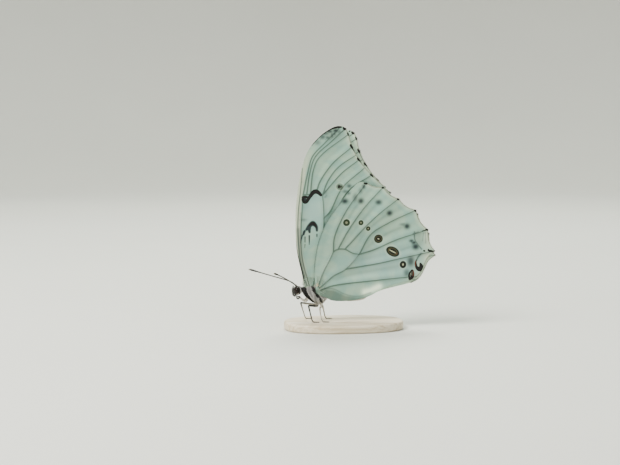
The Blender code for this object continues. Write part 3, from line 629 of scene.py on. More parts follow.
def lattice(low, high, step):
    """Points a step apart in staggered rows over a box."""
    columns, rows = np.meshgrid(
        np.arange(low[0], high[0], step), np.arange(low[1], high[1], step * ROW_SHARE)
    )
    columns = columns + (np.arange(len(rows)) % 2)[:, None] * step / 2
    return np.stack([columns.ravel(), rows.ravel()], axis=1)


def add_object(name, points, faces, material):
    """A smooth object of one material, from points in metres."""
    mesh = bpy.data.meshes.new(name)
    mesh.from_pydata(points, [], faces)
    mesh.shade_smooth()
    mesh.materials.append(material)
    made = bpy.data.objects.new(name, mesh)
    bpy.context.scene.collection.objects.link(made)
    return made


def add_piece(name, points, faces, material, slot, stands_for=(), layers=None, uvs=None,
              sharp=None, shift=ANIMAL_SHIFT):
    """A piece from points in millimetres, riding on the frame, with its layers of values."""
    points = (np.asarray(points, float) + (shift, 0.0, 0.0)) * MM
    piece = add_object(name, points.tolist(), faces, material)
    mesh = piece.data
    for layer, values in (layers or {}).items():
        made = mesh.attributes.new(layer, "FLOAT_VECTOR", "POINT")
        made.data.foreach_set("vector", np.asarray(values, np.float32).ravel())
    if uvs is not None:
        corner = np.empty(len(mesh.loops), np.int32)
        mesh.loops.foreach_get("vertex_index", corner)
        uv_map = mesh.uv_layers.new(name="OFBake")
        uv_map.data.foreach_set("uv", np.asarray(uvs, np.float32)[corner].ravel())
    if sharp:
        mesh.set_sharp_from_angle(angle=math.radians(sharp))
    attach(piece, "root")
    if stands_for:
        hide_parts(*stands_for)


def grid_faces(rows, sides):
    """Faces over a closed grid of rings, with a cap at each end."""
    faces = []
    for row in range(rows - 1):
        for side in range(sides):
            near, far = row * sides, (row + 1) * sides
            after = (side + 1) % sides
            faces.append((near + side, near + after, far + after, far + side))
    faces.append(tuple(range(sides))[::-1])
    faces.append(tuple(range((rows - 1) * sides, rows * sides)))
    return faces


def add_rings(name, rings, material, slot, **more):
    """A closed piece from rings of points."""
    faces = grid_faces(*rings.shape[:2])
    add_piece(name, rings.reshape(-1, 3), faces, material, slot, **more)


def sweep(path, radii, sides):
    """Rings of points along a smooth path, each with its own radius."""
    path = np.asarray(path, float)
    run = unit(np.gradient(path, axis=0))
    across = unit(np.cross(run[0], (0.0, 0.0, 1.0)))
    angle = np.linspace(0, 2 * math.pi, sides, endpoint=False)[:, None]
    rings = []
    for point, along, radius in zip(path, run, radii):
        across = unit(across - along * across.dot(along))
        other = np.cross(along, across)
        ring = across * np.cos(angle) + other * np.sin(angle)
        rings.append(point + ring * radius)
    return np.array(rings)


def capped(rings):
    """Rings with a small one added before the first and after the last, to round the ends."""
    first, last = rings[0].mean(0), rings[-1].mean(0)
    out_first = first + (first - rings[1].mean(0)) * CAP_STEP
    out_last = last + (last - rings[-2].mean(0)) * CAP_STEP
    return np.concatenate([
        [out_first + (rings[0] - first) * CAP_WIDTH], rings,
        [out_last + (rings[-1] - last) * CAP_WIDTH],
    ])


def limb_layer(dark, buff):
    """The coat layer of a capped limb's points, from how dark each of its rings is."""
    dark = np.repeat(np.concatenate([dark[:1], dark, dark[-1:]]), LIMB_SIDES)
    return np.column_stack([dark, np.full(len(dark), buff), np.zeros(len(dark))])


def scatter(rings, count, rng, wanted=None):
    """Random roots spread evenly over closed rings.

    Gives the places, the outward normals, the run along the rings, and the (along, around)
    shares. wanted(places) says how likely each place is to be kept.
    """
    grid = np.concatenate([rings, rings[:, :1]], axis=1)
    along = grid[1:, :-1] - grid[:-1, :-1]
    around = grid[:-1, 1:] - grid[:-1, :-1]
    area = np.linalg.norm(np.cross(along, around), axis=-1)
    pick = rng.choice(area.size, count, p=(area / area.sum()).ravel())
    row, side = np.unravel_index(pick, area.shape)
    s, t = rng.random(count)[:, None], rng.random(count)[:, None]
    places = (
        grid[row, side] * (1 - s) * (1 - t) + grid[row + 1, side] * s * (1 - t)
        + grid[row, side + 1] * (1 - s) * t + grid[row + 1, side + 1] * s * t
    )
    run = unit(along[row, side])
    normals = unit(np.cross(run, unit(around[row, side])))
    outward = places - rings.mean(1)[row]
    normals *= np.sign((normals * outward).sum(-1, keepdims=True))
    shares = np.stack([
        (row + s[:, 0]) / area.shape[0], (side + t[:, 0]) / area.shape[1]
    ], axis=1)
    if wanted is not None:
        keep = rng.random(count) < wanted(places)
        places, normals, run, shares = (a[keep] for a in (places, normals, run, shares))
    return places, normals, run, shares


# A tuft has three points in the skin, three at its middle and one at its tip.
TUFT_FACES = (
    (0, 2, 1), (0, 1, 4, 3), (1, 2, 5, 4), (2, 0, 3, 5), (3, 4, 6), (4, 5, 6), (5, 3, 6),
)
TUFT_POINTS = 7
TUFT_SECTION = ((1.0, -0.3), (-1.0, -0.3), (0.0, 0.5))
TUFT_MIDDLE = 0.38
# Its foot is sunk in the skin by this much, in millimetres.
SUNK = 0.05
# Each tuft bakes into a small three-sided patch, clear of the square's edge.
PATCH = 0.0015
PATCH_RING = np.array([(1.0, 0.0), (-0.5, 0.87), (-0.5, -0.87)])
BAKE_EDGE = 0.02


def tufts(roots, normals, lie, length, width, lift, curl, shares, values):
    """Curved, pointed, three-sided tufts: (points, faces, layer values, bake places).

    lift and curl are angles from the skin in radians; values is the (dark, buff) of each.
    """
    count = len(roots)
    length, width, lift, curl = (
        np.broadcast_to(np.asarray(v, float), (count,))[:, None]
        for v in (length, width, lift, curl)
    )
    lie = unit(lie - normals * (lie * normals).sum(-1, keepdims=True))
    side = unit(np.cross(lie, normals))
    first = lie * np.cos(lift) + normals * np.sin(lift)
    second = lie * np.cos(lift - curl) + normals * np.sin(lift - curl)
    low = roots - normals * SUNK
    middle = roots + first * length * 0.5
    tip = middle + second * length * 0.5
    lows = [low + (side * a + normals * b) * width / 2 for a, b in TUFT_SECTION]
    mids = [middle + (side * a + normals * b) * width * TUFT_MIDDLE for a, b in TUFT_SECTION]
    points = np.stack([*lows, *mids, tip], axis=1).reshape(-1, 3)
    starts = np.arange(count) * TUFT_POINTS
    faces = [tuple(start + i for i in face) for start in starts for face in TUFT_FACES]
    patch = np.vstack([PATCH_RING, PATCH_RING * 0.6, [(0.0, 0.0)]]) * PATCH
    places = (BAKE_EDGE + (1 - 2 * BAKE_EDGE) * shares)[:, None] + patch
    along = np.array([0.0, 0.0, 0.0, 0.5, 0.5, 0.5, 1.0])
    layer = np.concatenate([
        np.repeat(values[:, None], TUFT_POINTS, axis=1),
        np.broadcast_to(along[None, :, None], (count, TUFT_POINTS, 1)),
    ], axis=2).reshape(-1, 3)
    return points, faces, layer, places.reshape(-1, 2)


def add_coat(name, parts, material, slot):
    """One piece from several sets of tufts."""
    points, faces, layer, places = [], [], [], []
    for part in parts:
        start = sum(len(p) for p in points)
        points.append(part[0])
        faces.extend(tuple(start + i for i in face) for face in part[1])
        layer.append(part[2])
        places.append(part[3])
    add_piece(
        name, np.concatenate(points), faces, material, slot,
        layers={"coat": np.concatenate(layer)}, uvs=np.concatenate(places),
    )


# The wings.


def fold_line(behind):
    """Height of the crease where a hind wing is widest round the abdomen."""
    return -FOLD_SLOPE * np.clip(behind - FOLD_START, 0.0, FOLD_LENGTH)


def root_bulge(behind, above):
    """How far the wings stand out round the body: 1 at the body, 0 where they close."""
    height = above - fold_line(behind)
    over = np.exp(-(np.maximum(height, 0.0) / ROOT_REACH) ** 2)
    under = 1.0 - FOLD_TUCK * np.clip(-height / FOLD_TUCK_DEPTH, 0.0, 1.0) ** 1.5
    return np.where(height >= 0, over, under) * (1.0 - smooth(behind, *FOLD_FADE))


def wing_offset(pair, behind, above):
    """Distance of a wing's middle surface from the animal's plane of symmetry."""
    bulge = root_bulge(behind, above)
    offset = FORE_OFFSET + ROOT_SPREAD * bulge
    offset = offset + TIP_SPREAD * (np.maximum(above, 0.0) / FORE_LENGTH) ** 2
    if pair == "hind":
        corner = FORE_VEIN_ENDS[-1]
        past_fore = (behind * corner[1] - above * corner[0]) / math.hypot(*corner)
        closed = smooth(past_fore, *CLOSE_BEHIND_FORE) * (1.0 - bulge)
        offset = offset + HIND_LAYER * (1.0 - closed)
    return offset


def place_on_wing(pair, side, flat, lift=0.0):
    """Points on a wing from its flat (behind, above) places, lifted off its middle surface."""
    turn = math.radians(SWEEP[side][pair])
    behind, above = flat[:, 0], flat[:, 1] * REACH[side][pair]
    x = behind * math.cos(turn) + above * math.sin(turn)
    z = above * math.cos(turn) - behind * math.sin(turn)
    y = SIGN[side] * (wing_offset(pair, x, z) + lift)
    return np.stack([HINGE_X + x, y, HINGE_Z + z], axis=1)


def scallops(pair, step):
    """The arcs between the ends of a wing's veins, from the tip to the inner corner."""
    ends, depth = VEIN_ENDS[pair], SCALLOPS[pair]
    return [scallop(a, b, depth, step) for a, b in zip(ends, ends[1:])]


def wing_loop(pair, step):
    """Outline of a wing, from the root round by the tip."""
    paths = [spline(LEADING[pair], step), *scallops(pair, step)]
    if pair == "fore":
        root = np.array((FORE_TRAILING[-1], FORE_LEADING[0]))
        paths += [spline(FORE_TRAILING, step), root]
    else:
        paths += [spline(part, step) for part in (HIND_TAIL, HIND_INNER, HIND_ROOT)]
    return np.concatenate([path[:-1] for path in paths])


def outer_margin(pair, step):
    """The wing's fringed margin, from the tip to the inner corner."""
    paths = scallops(pair, step)
    if pair == "hind":
        paths.append(spline(HIND_TAIL, step))
    return np.concatenate(paths)


def in_eyespots(flat, spots):
    """Each point's (radius, slit, core) in the nearest eyespot: radius and slit are 1 at the
    spot's and the slit's edge."""
    found = np.full((len(flat), 3), FAR)
    found[:, 2] = 0.0
    for behind, above, half_length, half_width, tilt, slit, core in spots:
        turn = math.radians(tilt)
        gap = flat - (behind, above)
        along = gap[:, 0] * math.cos(turn) + gap[:, 1] * math.sin(turn)
        across = gap[:, 1] * math.cos(turn) - gap[:, 0] * math.sin(turn)
        radius = np.hypot(along / half_length, across / half_width)
        slit_radius = np.full(len(flat), FAR)
        if slit[0]:
            slit_radius = np.hypot(
                along / (half_length * slit[0]), across / (half_width * slit[1])
            )
        nearer = radius < found[:, 0]
        found[nearer] = np.stack([radius, slit_radius, np.full(len(flat), core)], 1)[nearer]
    return np.minimum(found, FAR)


def oval(flat, centre, radii):
    """1 in the middle of a soft oval, falling to 0 outside it."""
    return np.exp(-(((flat - centre) / radii) ** 2).sum(-1))


def soft_line(flat, path, half_width, step=0.5):
    """1 on a soft line, falling to 0 beside it."""
    return np.exp(-(to_path(flat, spline(path, step))[0] / half_width) ** 2)


def soft_marks(flat, shadows, lines):
    """How grey each point is from the soft marks and fine lines."""
    grey = np.zeros(len(flat))
    for behind, above, half_length, half_width, strength in shadows:
        gap = (flat - (behind, above)) / (half_length * MARK_BLUR, half_width * MARK_BLUR)
        grey = np.maximum(grey, strength * np.exp(-(gap ** 2).sum(-1) ** MARK_FALL))
    for path, half_width, strength in lines:
        grey = np.maximum(grey, strength * soft_line(flat, path, half_width))
    return grey


def vein_half_width(share, sizes):
    """Half a vein's width at each share of its length."""
    return sizes.vein_width / MM / 2 * (1.0 - VEIN_TAPER * share)


def wing_mesh(pair, loop, paths, sizes):
    """A wing's flat points and triangles, with rows along its veins, fine round its marks."""
    if pair == "fore":
        marks, lines = FORE_STROKES + FORE_WASHES, FORE_LINES
    else:
        marks, lines = HIND_STROKES + RED_STROKES + CREAM_STROKES, HIND_LINES[:NARROW_HIND_LINES]
    step, fine = sizes.mesh_step / MM, sizes.mark_step / MM
    rim = np.vstack([loop, loop[:1]])
    points, edges = [loop], [(i, (i + 1) % len(loop)) for i in range(len(loop))]
    for path in paths:
        run = unit(np.gradient(path, axis=0))
        normal = np.stack([-run[:, 1], run[:, 0]], axis=1)
        widths = vein_half_width(np.linspace(0, 1, len(path)), sizes)[:, None]
        for lane in (0.0, 1.0, -1.0):
            row = path + normal * widths * lane
            away, _ = to_path(row, rim)
            keep = inside(row, loop) & (away > ROW_ROOMS[lane != 0.0])
            start = sum(len(p) for p in points)
            order = np.cumsum(keep) - 1
            for i in np.flatnonzero(keep[:-1] & keep[1:]):
                edges.append((start + int(order[i]), start + int(order[i + 1])))
            points.append(row[keep])
    rows = points[1:]

    def detail(flat):
        """Below 0 where the marks need a finer mesh."""
        near = to_strokes(flat, marks) - STROKE_REACH
        for path, width, _ in lines:
            near = np.minimum(near, to_path(flat, spline(path, 0.5))[0] - width - LINE_REACH)
        # Between two close veins too.
        gaps = np.sort([to_path(flat, path)[0] for path in paths], axis=0)
        near = np.minimum(near, gaps[0] + gaps[1] - NARROW_CELL)
        radius = in_eyespots(flat, EYESPOTS[pair])[:, 0]
        return np.minimum(near, (radius - SPOT_REACH) * 1.2)

    coarse, small = (lattice(loop.min(0), loop.max(0), size) for size in (step, fine))
    coarse, small = coarse[detail(coarse) > 0.1], small[detail(small) <= 0.0]
    for cloud, room in ((coarse, step * ROOM), (small, fine * ROOM)):
        cloud = cloud[inside(cloud, loop)]
        cloud = cloud[to_path(cloud, rim)[0] > room]
        for row in rows:
            if len(row) > 1:
                near = (cloud > row.min(0) - step).all(1) & (cloud < row.max(0) + step).all(1)
                keep = np.ones(len(cloud), bool)
                keep[near] = to_path(cloud[near], row)[0] > room
                cloud = cloud[keep]
        points.append(cloud)
    everything = [Vector(p) for p in np.concatenate(points).tolist()]
    made = delaunay_2d_cdt(everything, edges, [list(range(len(loop)))], 1, 0.004)
    return np.array([tuple(p) for p in made[0]]), [tuple(face) for face in made[2]]


def fore_marks(flat, from_lead):
    """The fore wing's (dark, grey, cream, red strokes, cream strokes, tone) at each point."""
    edge = FORE_EDGE * (1 - smooth(flat[:, 1], *FORE_EDGE_FADE))
    dark = np.minimum(to_strokes(flat, FORE_STROKES), from_lead - edge)
    grey = soft_marks(flat, FORE_SHADOWS, FORE_LINES)
    grey = np.maximum(grey, 1 - smooth(to_strokes(flat, FORE_WASHES), -0.16, 0.12))
    cream = (1 - smooth(from_lead, *FORE_CREAM)) * (1 - smooth(flat[:, 1], *FORE_CREAM_FADE))
    none = np.full(len(flat), FAR)
    return dark, grey, cream, none, none, np.zeros(len(flat))


def hind_marks(flat, from_lead):
    """The hind wing's (dark, grey, cream, red strokes, cream strokes, tone) at each point."""
    # Its cream holds a painted highlight besides real cream; its tone is painted light and shade,
    # and a darker patch.
    behind, above = flat.T
    fade_in, fade_out = HIND_EDGE_FADES
    front = smooth(above, *fade_in) * (1 - smooth(above, *fade_out))
    grey = soft_marks(flat, HIND_SHADOWS, HIND_LINES)
    # A grey line of painted shadow along the front edge.
    grey = np.maximum(grey, HIND_EDGE_SHADOW * front * np.exp(-(from_lead / HIND_EDGE) ** 2))
    # A painted highlight along the fold, and painted shade under it.
    shine = soft_line(flat, HIND_PAINTED_SHINE, PAINTED_SHINE_HALF_WIDTH)
    fold = np.interp(behind, *np.transpose(HIND_FOLD))
    under = smooth(fold - above, *UNDER_FOLD_GROWTH) * (1 - smooth(behind, *UNDER_FOLD_FADE))
    cream = PAINTED_SHINE_CREAM * shine
    for amount, centre, radii in HIND_CREAMS:
        cream += amount * oval(flat, centre, radii)
    # The tone is painted light and shade: the highlight on the fold, the shade under it, the glow
    # near the tip and the rays; and a darker patch.
    tone = PAINTED_SHINE_TONE * shine - PAINTED_UNDER_FOLD_SHADE * under
    for amount, centre, radii in HIND_GLOW_AND_DARK_PATCHES:
        tone += amount * oval(flat, centre, radii)
    # Painted light and shade along the folds.
    for path, change in HIND_PAINTED_RAYS:
        tone += change * soft_line(flat, path, PAINTED_RAY_HALF_WIDTH, 1.0)
    strokes = [to_strokes(flat, rows) for rows in (HIND_STROKES, RED_STROKES, CREAM_STROKES)]
    return strokes[0], grey, cream, strokes[1], strokes[2], tone


def wing_plan(pair, sizes):
    """A flat mesh of one wing with its layers of values, its veins' ridges and its relief."""
    step = sizes.mesh_step / MM
    loop = wing_loop(pair, step)
    paths = [spline(points, step) for points in VEINS[pair]]
    flat, triangles = wing_mesh(pair, loop, paths, sizes)

    vein, gaps = np.full(len(flat), FAR), []
    for path in paths:
        away, share = to_path(flat, path)
        vein = np.minimum(vein, away / vein_half_width(share, sizes))
        gaps.append(away)
    gap, next_gap = np.sort(gaps, axis=0)[:2]
    from_rim = to_path(flat, np.vstack([loop, loop[:1]]))[0]
    from_margin = to_path(flat, outer_margin(pair, step))[0]
    from_lead = to_path(flat, spline(LEADING[pair], step))[0]
    from_root = np.hypot(flat[:, 0], flat[:, 1])
    own_marks = fore_marks if pair == "fore" else hind_marks
    dark, grey, cream, red_stroke, cream_stroke, tone = own_marks(flat, from_lead)
    amount, centre, radii = COOL_PATCHES[pair]
    cool = amount * oval(flat, centre, radii)
    # The shade layer: painted shade near the hinge and beside the veins, plus the marks' tone.
    shade = 1.0 - ROOT_SHADE * (1 - smooth(from_root, *ROOT_SHADE_FADE)) + tone
    shade -= VEIN_SHADE * np.exp(-(gap / VEIN_SHADE_REACH) ** 2) * smooth(from_rim, 0.0, 1.0)
    # Painted shade of the folds runs beside the veins and down the middle of each cell between
    # them, with painted light between. Where two veins meet both gaps are 0.
    cell = np.maximum(gap + next_gap, 1e-6)
    painted_streak = np.cos(4 * math.pi * gap / cell) * smooth(cell, *SATIN_CELL)
    shade -= PAINTED_SATIN_STREAKS * painted_streak * smooth(from_root, *SATIN_START[pair])
    layers = {
        "place": np.stack([flat[:, 0], flat[:, 1], from_root], 1),
        "marks": np.stack([dark, grey, shade], 1),
        "lines": np.stack([vein, from_margin, cream], 1),
        "eyespot": in_eyespots(flat, EYESPOTS[pair]),
        "corner": np.stack([red_stroke, cream_stroke, cool], 1),
    }

    ridge = np.maximum(0.0, 1.0 - vein ** 2) * smooth(from_rim, 0.0, 1.5)
    ridge *= sizes.vein_height / MM * (1.0 - 0.5 * smooth(from_root, 10.0, 50.0))
    sag = sizes.sag / MM * (1.0 - np.exp(-(gap / SAG_REACH) ** 2)) * smooth(from_rim, 0.0, 3.0)
    bend = RIPPLE_BEND * np.sin(flat[:, 1] * RIPPLE_UP)
    ripple = RIPPLE_HEIGHT * np.sin(flat[:, 0] * RIPPLE_ALONG + bend)
    ripple *= smooth(from_root, 8.0, 20.0)
    if pair == "hind":
        away, share = to_path(flat, spline(HIND_CREASE, 1.0))
        crease = np.exp(-(away / CREASE_HALF_WIDTH) ** 2) * np.sin(math.pi * share)
        sag += CREASE_DEPTH * crease
    return {
        "flat": flat, "triangles": triangles, "layers": layers,
        "ridge": ridge, "relief": ripple - sag,
    }


def add_wing(pair, side, plan, sizes, material):
    """One wing: a thin closed membrane, its outer face marked and its veins raised."""
    flat, triangles = plan["flat"], plan["triangles"]
    half = sizes.thickness / MM / 2
    turn = 1 if side == "right" else -1
    outer = place_on_wing(pair, side, flat, plan["relief"] + half + plan["ridge"])
    inner = place_on_wing(pair, side, flat, plan["relief"] - half - INNER_RIDGE * plan["ridge"])
    count = len(flat)
    sides = [ends for t in triangles for ends in zip(t, t[1:] + t[:1])]
    shared = set(sides)
    faces = [t[::turn * -1] for t in triangles]
    faces += [tuple(i + count for i in t[::turn]) for t in triangles]
    for a, b in sides:
        if (b, a) not in shared:
            quad = (a, b, b + count, a + count)
            faces.append(quad[::turn])
    layers = {name: np.concatenate([v, v]) for name, v in plan["layers"].items()}
    # The inner face keeps the veins and the black edge spots, and has no eyespots.
    layers["eyespot"][count:, :2] = FAR
    layers["corner"][count:, :2] = FAR
    layers["marks"][count:, 1] *= INNER_GREY
    layers["marks"][count:, 2] *= INNER_SHADE
    layers["lines"][count:, 2] = np.maximum(layers["lines"][count:, 2], INNER_CREAM)
    plain = (layers["lines"][count:, 1] > INNER_MARGIN) | (flat[:, 1] < INNER_FLOOR)
    layers["marks"][count:, 0][plain] = FAR
    add_piece(
        f"{pair}wing_{side}_membrane", np.concatenate([outer, inner]), faces, material, "wing",
        stands_for=(f"{pair}wing_{side}",), layers=layers, sharp=60.0,
    )


def bake_place(flat):
    """Where a wing's hair lies in the bake square, as shares of it."""
    return (flat + BAKE_CORNER) / BAKE_SPAN


def fringe(pair, side, rng):
    """Fine hairs along a wing's outer margin and round its inner edge."""
    path = outer_margin(pair, 0.11)
    run = unit(np.gradient(path, axis=0))
    out = np.stack([-run[:, 1], run[:, 0]], axis=1)
    parts = []
    for row, reach in FRINGE_ROWS:
        flat = path - out * row + rng.normal(0, 0.03, path.shape)
        slant = run * rng.normal(0.1, 0.18, (len(path), 1))
        lean = unit(out + slant)
        roots = place_on_wing(pair, side, flat)
        lie = place_on_wing(pair, side, flat + lean * 0.2) - roots
        normals = np.tile((0.0, SIGN[side], 0.0), (len(path), 1))
        to_end = np.linalg.norm(flat[:, None] - np.array(VEIN_ENDS[pair]), axis=-1).min(1)
        dark = 1 - smooth(to_end, 0.45, 0.85)
        values = np.stack([dark, rng.uniform(0.1, 0.5, len(path))], 1)
        parts.append(tufts(
            roots, normals, lie, reach * rng.uniform(0.8, 1.15, len(path)), 0.12,
            rng.normal(0.0, 0.12, len(path)), 0.0, bake_place(flat), values,
        ))
    return parts


def root_hairs(pair, side, rng):
    """Fine pale hairs on the foot of a wing, lying outwards from the hinge."""
    far = ROOT_HAIR_REACH * rng.random(ROOT_HAIRS) ** 1.6
    if pair == "fore":
        flat = np.stack([rng.uniform(-4.2, 0.2, ROOT_HAIRS), far], 1)
    else:
        angle = rng.uniform(-1.3, 1.5, ROOT_HAIRS)
        flat = np.stack([far * np.cos(angle) - 0.2, 0.4 + far * np.sin(angle)], 1)
    flat = flat[inside(flat, wing_loop(pair, 1.0))]
    roots = place_on_wing(pair, side, flat, 0.08)
    lie = place_on_wing(pair, side, flat * 1.05 + (0.02, 0.05), 0.08) - roots
    normals = np.tile((0.0, SIGN[side], 0.0), (len(flat), 1))
    from_tuft = np.linalg.norm(flat - CREAM_TUFT, axis=1)
    buff = rng.uniform(0.0, 0.2, len(flat)) + 0.8 * (1 - smooth(from_tuft, 0.6, 1.2))
    values = np.stack([np.zeros(len(flat)), buff], 1)
    return tufts(
        roots, normals, lie, rng.uniform(0.6, 1.3, len(flat)), 0.08,
        rng.uniform(0.0, 0.07, len(flat)), 0.1, bake_place(flat), values,
    )


# Soft steps of a wing's values that say how much of a colour shows: (name, value, from, to,
# amount before, amount after). The radius and the slit are 1 at an eyespot's and a slit's edge.
WING_STEPS = (
    ("drift", "drift", 0.35, 0.65, 0.0, 1.0),
    ("pale margin", "margin", 1.8, 0.2, 0.0, 0.45),
    ("tan margin", "margin", 0.3, 0.1, 0.0, 0.75),
    ("vein", "vein", 1.7, 0.5, 0.0, 0.8),
    ("halo", "radius", 1.5, 1.05, 0.0, 0.35),
    ("halo inside", "radius", 0.95, 1.05, 0.0, 1.0),
    ("spot", "radius", 1.08, 0.92, 0.0, 1.0),
    ("spot strength", "core", -1.0, 0.1, 0.42, 1.0),
    ("ring", "radius", 0.76, 0.7, 0.0, 1.0),
    ("ring inside", "radius", 0.56, 0.62, 0.0, 1.0),
    ("ring strength", "core", 0.6, 0.9, 0.0, 1.0),
    ("slit", "slit", 1.15, 0.85, 0.0, 1.0),
    ("slit strength", "core", 0.0, 0.5, 0.45, 1.0),
    ("moss ground", "core", -1.0, 0.0, 0.0, 1.0),
    ("olive ground", "core", 0.0, 0.4, 0.0, 1.0),
    ("dark", "dark", 0.06, -0.06, 0.0, 1.0),
    ("red", "red", 0.06, -0.06, 0.0, 1.0),
    ("cream", "cream", 0.06, -0.06, 0.0, 1.0),
)
# Steps that narrow another one.
WING_PRODUCTS = (
    ("halo", "halo inside"), ("spot", "spot strength"), ("ring", "ring inside"),
    ("ring", "ring strength"), ("slit", "slit strength"),
)
# How far the grain shifts the edges of marks, in millimetres, and of eyespots, in radii.
RAGGED_EDGES = (("dark", 0.24), ("red", 0.24), ("cream", 0.24), ("radius", 0.108))


def wing_membrane(name, colours):
    """Wing membrane of chitin under overlapping pearl scales.

    To the eye it is a pale, cool, softly shining white, faintly grained, thinning to grey-green
    along the veins; its marks have the slightly ragged edge that rows of scales give.
    """
    made, tree, shader = new_material(name, {
        "Roughness": 0.42, "IOR": 1.56, "Specular IOR Level": 0.35, "Sheen Weight": 0.12,
        "Sheen Roughness": 0.35, "Sheen Tint": linear("DDEFF0"),
    })
    place = node(tree, "Attribute", attribute_name="place").outputs["Vector"]
    shown = {}
    for layer, names in (
        ("marks", ("dark", "grey", "shade")), ("lines", ("vein", "margin", "cream_and_painted_shine")),
        ("eyespot", ("radius", "slit", "core")), ("corner", ("red", "cream", "cool")),
    ):
        vector = node(tree, "Attribute", attribute_name=layer).outputs["Vector"]
        shown.update(zip(names, node(tree, "SeparateXYZ", {"Vector": vector}).outputs))
    # Scales are about 0.1 mm; the grain is drawn at 0.2 mm so that it shows.
    grain = node(tree, "TexNoise", {"Vector": place, "Scale": 5.0, "Detail": 2.0})
    ragged = node(tree, "Math", {0: grain.outputs["Fac"], 1: 0.5}, operation="SUBTRACT")
    for mark, amount in RAGGED_EDGES:
        shown[mark] = node(tree, "Math", {
            0: ragged.outputs[0], 1: amount, 2: shown[mark],
        }, operation="MULTIPLY_ADD").outputs[0]
    # Pearly drifts of tone 6 mm across.
    drift = node(tree, "TexNoise", {"Vector": place, "Scale": 0.16, "Detail": 2.0})
    shown["drift"] = drift.outputs["Fac"]
    values = dict(shown)
    for mark, value, low, high, before, after in WING_STEPS:
        shown[mark] = node(tree, "MapRange", {
            "Value": values[value], "From Min": low, "From Max": high,
            "To Min": before, "To Max": after,
        }, interpolation_type="SMOOTHSTEP").outputs["Result"]
    for mark, narrower in WING_PRODUCTS:
        shown[mark] = node(tree, "Math", {
            0: shown[mark], 1: shown[narrower],
        }, operation="MULTIPLY").outputs[0]

    # Colours lie one over the other: the grounds of the eyespots, then the whole wing.
    spot = colours.ochre
    for mark, top in (("moss ground", colours.moss), ("olive ground", colours.olive)):
        spot = node(tree, "Mix", {
            0: shown[mark], MIX_A: spot, MIX_B: top,
        }, data_type="RGBA").outputs[MIX_OUT]
    colour = colours.pearl
    for mark, top in (
        ("drift", colours.pearl_warm), ("cool", colours.cool), ("pale margin", colours.cream),
        ("cream_and_painted_shine", colours.cream), ("vein", colours.vein), ("grey", colours.smoke),
        ("tan margin", colours.tan), ("halo", colours.cream), ("spot", spot),
        ("ring", colours.ochre), ("slit", colours.slit), ("dark", colours.black_brown),
        ("red", colours.rust), ("cream", colours.cream),
    ):
        colour = node(tree, "Mix", {
            0: shown[mark], MIX_A: colour, MIX_B: top,
        }, data_type="RGBA").outputs[MIX_OUT]
    # The shade layer multiplies the colour: painted shade and light of the folds, hinge and veins,
    # and the whiter inner face.
    shaded = node(tree, "Mix", {
        0: 1.0, MIX_A: colour, MIX_B: shown["shade"],
    }, data_type="RGBA", blend_type="MULTIPLY").outputs[MIX_OUT]
    tree.links.new(shaded, shader.inputs["Base Color"])
    # Rows of scales stand as fine ribs across the wing, 0.3 mm apart.
    ribs = node(tree, "TexWave", {
        "Vector": place, "Scale": 0.55, "Distortion": 2.5, "Detail": 2.0, "Detail Scale": 2.0,
    }, wave_type="RINGS", rings_direction="Z")
    height = node(tree, "Math", {
        0: ribs.outputs["Fac"], 1: grain.outputs["Fac"],
    }, operation="ADD").outputs[0]
    bump = node(tree, "Bump", {"Height": height, "Strength": 0.35, "Distance": 0.00003})
    tree.links.new(bump.outputs["Normal"], shader.inputs["Normal"])
    return made


# The body, its coat and the head.


def squarish(angle, squareness):
    """Places round an oval of half width and half height 1, round at 2 and squarer above."""
    power = 2 / squareness
    c, s = np.cos(angle), np.sin(angle)
    return np.sign(c) * np.abs(c) ** power, np.sign(s) * np.abs(s) ** power


def body_rings():
    """Rings of the one skin of head, thorax and abdomen, with flat seats for the wings."""
    angle = np.linspace(0, 2 * math.pi, BODY_SIDES, endpoint=False)
    wide, high = squarish(angle, BODY_SQUARENESS)
    rings = []
    for behind, above, half_width, half_height in spline(BODY_SKIN, BODY_STEP):
        y = wide * max(half_width, BODY_END)
        z = above + high * max(half_height, BODY_END)
        if behind > FIRST_GROOVE:
            ring = (behind - THORAX_END) / ABDOMEN_RING
            groove = ABDOMEN_GROOVE * max(0.0, math.cos(2 * math.pi * ring)) ** 4
            scale = 1.0 - groove / max(half_width, 0.5)
            y, z = y * scale, above + (z - above) * scale
        # Between the wings the back is a narrow dome; the hind wings' seats are flat.
        limit = DOME_HALF_WIDTH + (FAR - DOME_HALF_WIDTH) * (1 - smooth(z, *DOME_EASE))
        if SEAT_FRONT < behind < THORAX_END:
            limit = np.minimum(limit, np.where(z > SEAT_FLOOR, SEAT_HALF_WIDTH, FAR))
        if HEAD_END < behind < THORAX_END:
            y = np.clip(y, -limit, limit)
        x = np.full_like(y, HINGE_X + behind)
        rings.append(np.stack([x, y, HINGE_Z + z], axis=1))
    return np.array(rings)


def body_tone(places):
    """(dark, buff) of the body's coat at each place, the same for skin and tufts."""
    behind, across, above = (places - (HINGE_X, 0.0, HINGE_Z)).T
    across = np.abs(across)
    seen = np.stack([behind, above], axis=1)
    stripe = 1 - smooth(to_strokes(seen, BODY_STRIPES), -0.12, 0.1)
    grey = 1 - smooth(to_strokes(seen, BODY_GREYS), -0.15, 0.25)
    warm = 1 - smooth(to_strokes(seen, BODY_BUFFS), -0.15, 0.2)
    between_eyes = (behind < -7.0) & (across < 0.8)
    dark = np.maximum(np.where(between_eyes, 0.9, stripe), GREY_STRENGTH * grey)
    along_back = (across < 0.4) & (above > 0.2) & (behind > HEAD_END)
    dark = np.where(along_back, np.maximum(dark, 0.45), dark)
    buff = 0.25 * smooth(behind, 4.0, 8.0) + 0.2 * (1 - smooth(above, -6.5, -3.5))
    return np.stack([dark, np.maximum(buff, 0.6 * warm)], axis=1)


